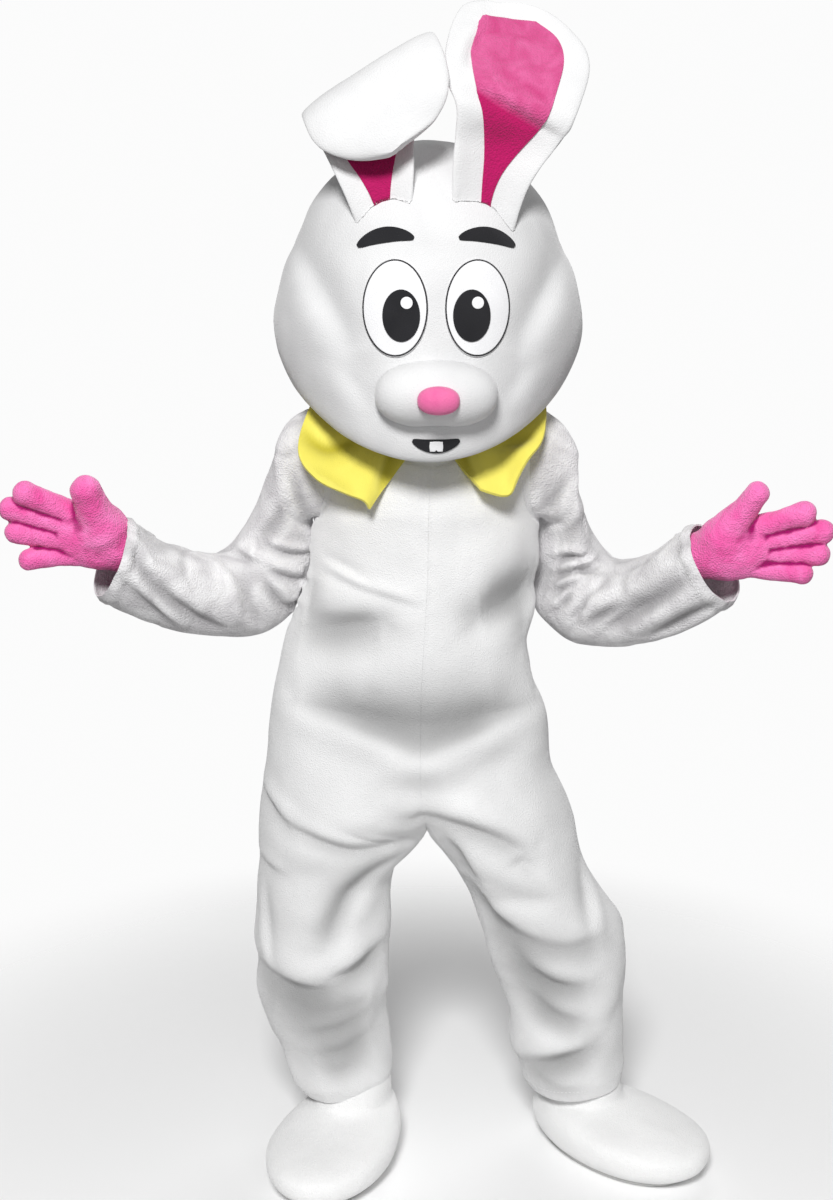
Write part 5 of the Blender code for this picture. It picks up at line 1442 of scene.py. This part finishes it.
def glove_cloth(side):
    """Palm and fingers fused into one skin that is open at the wrist."""
    hand = HANDS[side]
    shape = bmesh.new()
    tube(shape, palm_rings(hand))
    for finger in hand.fingers:
        tube(shape, finger_rings(hand, finger))
    bmesh.ops.recalc_face_normals(shape, faces=shape.faces)
    thing = add_object("glove", to_mesh("glove", shape))
    fuse = thing.modifiers.new("fuse", "REMESH")
    fuse.mode, fuse.voxel_size = "VOXEL", VOXEL
    ease = thing.modifiers.new("ease", "SMOOTH")
    ease.factor, ease.iterations = EASE, EASE_ROUNDS
    shape = bmesh.new()
    shape.from_mesh(applied(thing))
    forearm = Vector(hand.forearm).normalized()
    cut = Vector(hand.wrist) + forearm * WRIST_CUT
    whole = [*shape.verts, *shape.edges, *shape.faces]
    bmesh.ops.bisect_plane(shape, geom=whole, plane_co=cut, plane_no=forearm, clear_inner=True)
    return to_mesh(f"glove_{side}", shape)


def hollows(mesh, rounds, depth):
    """0 on open cloth, up to 1 in hollows: how far each point lies below its wider surroundings, used as
    painted shade.
    """
    points = points_of(mesh)
    wide = neighbour_means(mesh, points, rounds)
    return np.clip(np.sum((wide - points) * normals_of(mesh), axis=1) / depth, 0, 1)


def make_glove(side):
    mesh = glove_cloth(side)
    hand = HANDS[side]
    wrist, along, up, _ = hand_axes(hand)
    root = wrist + along * hand.fingers[0].root_along + up * hand.fingers[0].root_up
    away = np.linalg.norm(points_of(mesh) - np.array(root), axis=1)
    near = np.clip(THUMB_FADE - away / THUMB_REACH, 0, 1)[:, None]
    set_points(mesh, neighbour_means(mesh, points_of(mesh), THUMB_ROUNDS, near))
    points, normals = points_of(mesh), normals_of(mesh)
    height = waves(points, *GLOVE_WAVES)
    set_points(mesh, points + normals * height[:, None])
    # painted shade in the glove's hollows
    crease = hollows(mesh, HOLLOW_ROUNDS, HOLLOW_DEPTH)
    faces = [tuple(p.vertices) for p in mesh.polygons]
    return walled(
        f"glove_cloth_{side}", points_of(mesh), normals, faces, GLOVE_WALL, pink_plush, crease
    )


for side in ("right", "left"):
    dress(make_glove(side), "pink_plush", f"glove_{side}")

# %% [markdown]
# ## The shoes
# Big padded shoes cover the wearer's own. The upper is plush over foam, smoothed from its packed
# skin with soft dents where the foot bends. Under it lies a flat rubber foam sole.

# %% Make the shoes
SHOE_WALL, SHOE_TURN = 0.006, math.radians(55)
SHOE_WAVES = (Wave(0.0022, 11.0, 12), Wave(0.0008, 36.0, 13))
# heights above the floor between which the upper is dented, and how gently that begins and ends
DENTS_FROM, DENTS_TO, DENTS_FADE = 0.012, 0.115, 0.02
SOLE_HEIGHT, SOLE_STEP, SOLE_OVERLAP = 0.008, 0.012, 12
# share of the outline and share of the height, from the middle below to the middle above
SOLE_RINGS = (
    (0.02, 0.0), (0.5, 0.0), (0.965, 0.0), (0.982, 0.05), (0.994, 0.22), (1.0, 0.5),
    (0.994, 0.8), (0.984, 0.95), (0.965, 1.0), (0.5, 1.0), (0.02, 1.0),
)


def upper_cloth(side):
    mesh = smooth_through(to_mesh("upper", outer_skin(f"shoe_upper_{side}", SHOE_WALL, SHOE_TURN)), 3)
    points, normals = points_of(mesh), normals_of(mesh)
    height = waves(points, *SHOE_WAVES)
    low = np.clip((points[:, 2] - FLOOR_Z - DENTS_FROM) / DENTS_FADE, 0, 1)
    height *= low * np.clip((FLOOR_Z + DENTS_TO - points[:, 2]) / DENTS_FADE, 0, 1)
    points = points + normals * height[:, None]
    faces = [tuple(p.vertices) for p in mesh.polygons]
    return walled(f"shoe_cloth_{side}", points, normals, faces, SHOE_WALL, shoe_plush)


def sole_foam(side):
    """The foam sole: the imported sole's outline drawn smooth, its edge rounded above and below."""
    corners = {(round(v.co.x, 5), round(v.co.y, 5)) for v in nodes[f"shoe_sole_{side}"].data.vertices}
    middle = sum((Vector(c) for c in corners), Vector((0, 0))) / len(corners)
    ordered = sorted(corners, key=lambda c: math.atan2(c[1] - middle.y, c[0] - middle.x))
    # the curve runs on past its start, so it is cut where it meets itself again
    outline = curve_through([*ordered, *ordered[:3]], SOLE_STEP)
    start = min(range(SOLE_OVERLAP), key=lambda i: (outline[-1] - outline[i]).length)
    outline = outline[start + 1 :]
    rings = []
    for share, rise in SOLE_RINGS:
        spots = [middle + (Vector(p) - middle) * share for p in outline]
        rings.append([(p.x, p.y, FLOOR_Z + SOLE_HEIGHT * rise) for p in spots])
    shape = bmesh.new()
    tube(shape, rings)
    bmesh.ops.recalc_face_normals(shape, faces=shape.faces)
    mesh = to_mesh(f"sole_{side}", shape)
    mesh.materials.append(sole_rubber)
    mesh.shade_smooth()
    return add_object(f"sole_foam_{side}", mesh)


for side in ("right", "left"):
    dress(upper_cloth(side), "white_plush", f"shoe_upper_{side}")
    dress(sole_foam(side), "sole_rubber", f"shoe_sole_{side}")

# %% [markdown]
# ## Stitches
# A row of stitches is one small thread shape repeated along a path. Geometry Nodes does this well:
# the path is cut into equal steps and a stitch is placed at each, turned along the path and lying
# flat on the cloth. The path carries the cloth's normal, so the nodes know which way is up.

# %% Build the stitch nodes
def make_stitcher():
    group = bpy.data.node_groups.new("Stitches", "GeometryNodeTree")
    group.interface.new_socket("Path", in_out="INPUT", socket_type="NodeSocketGeometry")
    for label, value in (("Spacing", 0.006), ("Length", 0.004), ("Thickness", 0.0008), ("Turn", 0.0)):
        socket = group.interface.new_socket(label, in_out="INPUT", socket_type="NodeSocketFloat")
        socket.default_value = value
    group.interface.new_socket("Thread", in_out="INPUT", socket_type="NodeSocketMaterial")
    group.interface.new_socket("Stitches", in_out="OUTPUT", socket_type="NodeSocketGeometry")
    given, result = group.nodes.new("NodeGroupInput"), group.nodes.new("NodeGroupOutput")
    curve = wire(group, "GeometryNodeMeshToCurve", {"Mesh": given.outputs["Path"]})
    steps = wire(
        group,
        "GeometryNodeResampleCurve",
        {"Curve": curve.outputs[0], "Length": given.outputs["Spacing"]},
        mode="LENGTH",
    )
    up = wire(group, "GeometryNodeInputNamedAttribute", {"Name": "up"}, data_type="FLOAT_VECTOR")
    tangent = wire(group, "GeometryNodeInputTangent")
    stand = wire(group, "FunctionNodeAlignRotationToVector", {"Vector": up.outputs["Attribute"]}, axis="Z")
    follow = wire(
        group,
        "FunctionNodeAlignRotationToVector",
        {"Rotation": stand.outputs[0], "Vector": tangent.outputs[0]},
        axis="X",
        pivot_axis="Z",
    )
    wobble = wire(
        group, "FunctionNodeRandomValue", {"Min": -0.10, "Max": 0.10, "Seed": 3}, data_type="FLOAT"
    )
    turn = wire(
        group, "ShaderNodeMath", {0: given.outputs["Turn"], 1: wobble.outputs["Value"]}, operation="ADD"
    )
    angles = wire(group, "ShaderNodeCombineXYZ", {"Z": turn.outputs[0]})
    spin = wire(group, "FunctionNodeEulerToRotation", {"Euler": angles.outputs[0]})
    face = wire(
        group,
        "FunctionNodeRotateRotation",
        {"Rotation": follow.outputs[0], "Rotate By": spin.outputs[0]},
        rotation_space="LOCAL",
    )
    ball = wire(group, "GeometryNodeMeshUVSphere", {"Segments": 6, "Rings": 4, "Radius": 0.5})
    size = wire(
        group,
        "ShaderNodeCombineXYZ",
        {"X": given.outputs["Length"], "Y": given.outputs["Thickness"], "Z": given.outputs["Thickness"]},
    )
    stitch = wire(
        group, "GeometryNodeTransform", {"Geometry": ball.outputs["Mesh"], "Scale": size.outputs[0]}
    )
    row = wire(
        group,
        "GeometryNodeInstanceOnPoints",
        {"Points": steps.outputs[0], "Instance": stitch.outputs[0], "Rotation": face.outputs[0]},
    )
    whole = wire(group, "GeometryNodeRealizeInstances", {"Geometry": row.outputs[0]})
    dyed = wire(
        group, "GeometryNodeSetMaterial", {"Geometry": whole.outputs[0], "Material": given.outputs["Thread"]}
    )
    group.links.new(dyed.outputs[0], result.inputs["Stitches"])
    return group


STITCHER = make_stitcher()


def thread(name, colour):
    """Plain sewing thread: one colour, with a fine twist in its bump."""
    made = bpy.data.materials.new(name)
    made.use_nodes = True
    shader = made.node_tree.nodes["Principled BSDF"]
    place = wire(made.node_tree, "ShaderNodeTexCoord").outputs["Object"]
    twist = wire(made.node_tree, "ShaderNodeTexNoise", {"Vector": place, "Scale": 1500.0, "Detail": 1.0})
    bump = wire(made.node_tree, "ShaderNodeBump", {"Height": twist.outputs[0], "Distance": 0.0002})
    made.node_tree.links.new(bump.outputs[0], shader.inputs["Normal"])
    shader.inputs["Base Color"].default_value = (*colour, 1.0)
    shader.inputs["Roughness"].default_value = 0.6
    return made


black_thread = thread("black_thread", (0.015, 0.015, 0.017))
white_thread = thread("white_thread", (0.80, 0.80, 0.80))
# lengths in metres; the turn is the angle between a stitch and its row
Stitch = namedtuple("Stitch", "spacing length thickness turn")
HEM_STITCH = Stitch(0.0075, 0.0052, 0.0010, 0.0)
SATIN_STITCH = Stitch(0.00085, 0.0034, 0.0011, math.radians(78))


def stitches(name, path, finish, stitch):
    """A closed row of stitches along a path of (point, normal) pairs."""
    count = len(path)
    mesh = bpy.data.meshes.new(name)
    edges = [(i, (i + 1) % count) for i in range(count)]
    mesh.from_pydata([tuple(p) for p, _ in path], edges, [])
    up = mesh.attributes.new("up", "FLOAT_VECTOR", "POINT")
    up.data.foreach_set("vector", [c for _, n in path for c in n])
    thing = add_object(name, mesh)
    step = thing.modifiers.new("stitches", "NODES")
    step.node_group = STITCHER
    values = {
        "Spacing": stitch.spacing,
        "Length": stitch.length,
        "Thickness": stitch.thickness,
        "Turn": stitch.turn,
        "Thread": finish,
    }
    for item in STITCHER.interface.items_tree:
        if item.name in values:
            step[item.identifier] = values[item.name]
    made = applied(thing)
    made.name = name
    made.shade_smooth()
    return add_object(name, made)


# %% [markdown]
# ## Where the stitches go
# Black satin stitches hold down the edge of each eye and draw its thin outline. Each cuff and each
# leg hem has a row of white stitches where its turned edge is held.

# %% Sew the stitches
NECK_LEVEL, CUFF_LEVEL = -0.1, -0.5      # an open edge above these heights is the neck, or a cuff
STITCH_LIFT, EYE_ROW = 0.0002, 0.965     # the eye's row runs at this share of its outline


def edge_loops(mesh):
    """The open edges of a sheet as loops of vertex numbers."""
    uses = {}
    for face in mesh.polygons:
        ring = list(face.vertices)
        for a, b in zip(ring, ring[1:] + ring[:1]):
            uses[(a, b)] = True
    after = {a: b for a, b in uses if (b, a) not in uses}
    loops = []
    while after:
        start = next(iter(after))
        loop = [start]
        while loop[-1] in after:
            following = after.pop(loop[-1])
            if following == start:
                break
            loop.append(following)
        loops.append(loop)
    return loops


def inside_edge(mesh, loop, tree, away, lift):
    """A path that runs a set distance inside an open edge, just above the cloth."""
    points = points_of(mesh)
    ring = set(loop)
    inward = {}
    for edge in mesh.edges:
        a, b = edge.vertices
        for here, there in ((a, b), (b, a)):
            if here in ring and there not in ring:
                inward[here] = points[there] - points[here]
    path = []
    for i in loop:
        if i in inward:
            way = inward[i] / np.linalg.norm(inward[i])
            spot, normal, _, _ = tree.find_nearest(Vector(points[i] + way * away))
            path.append((spot + normal * lift, normal))
    return path


def sew():
    suit_tree = tree_of(suit)
    for loop in edge_loops(suit):
        middle = points_of(suit)[loop].mean(0)
        if middle[2] > NECK_LEVEL:
            continue
        limb = "cuff" if middle[2] > CUFF_LEVEL else "hem"
        side = "right" if middle[0] < 0 else "left"
        path = inside_edge(suit, loop, suit_tree, HEM_WIDTH, STITCH_LIFT)
        row = stitches(f"{limb}_stitches_{side}", path, white_thread, HEM_STITCH)
        dress(row, "sleeve_plush" if limb == "cuff" else "white_plush")
    for side, sign in (("right", -1), ("left", 1)):
        path = []
        for x, z in oval_loop(FACE_X + sign * EYE_X, EYE_Z, *EYE_HALF)(EYE_ROW):
            spot, normal = on_surface(head_tree, x, z)
            path.append((spot + normal * (LAID_GAP + FELT), normal))
        row = stitches(f"eye_stitches_{side}", path, black_thread, SATIN_STITCH)
        dress(row, "black_felt")


sew()

# %% [markdown]
# ## Cloth and padding
# A render only sees shapes, so Cut is a record of how a sheet of cloth is cut: the rectangle it was
# cut from, in metres, its area, how it is held and what it rests on. A panel narrows at the shoulder,
# the knee and the crotch, so its area says how much of that rectangle the cut fills. The head, its
# snout and ears and the shoes are foam or stuffed.

Cut = namedtuple("Cut", "flat area held rests_on")
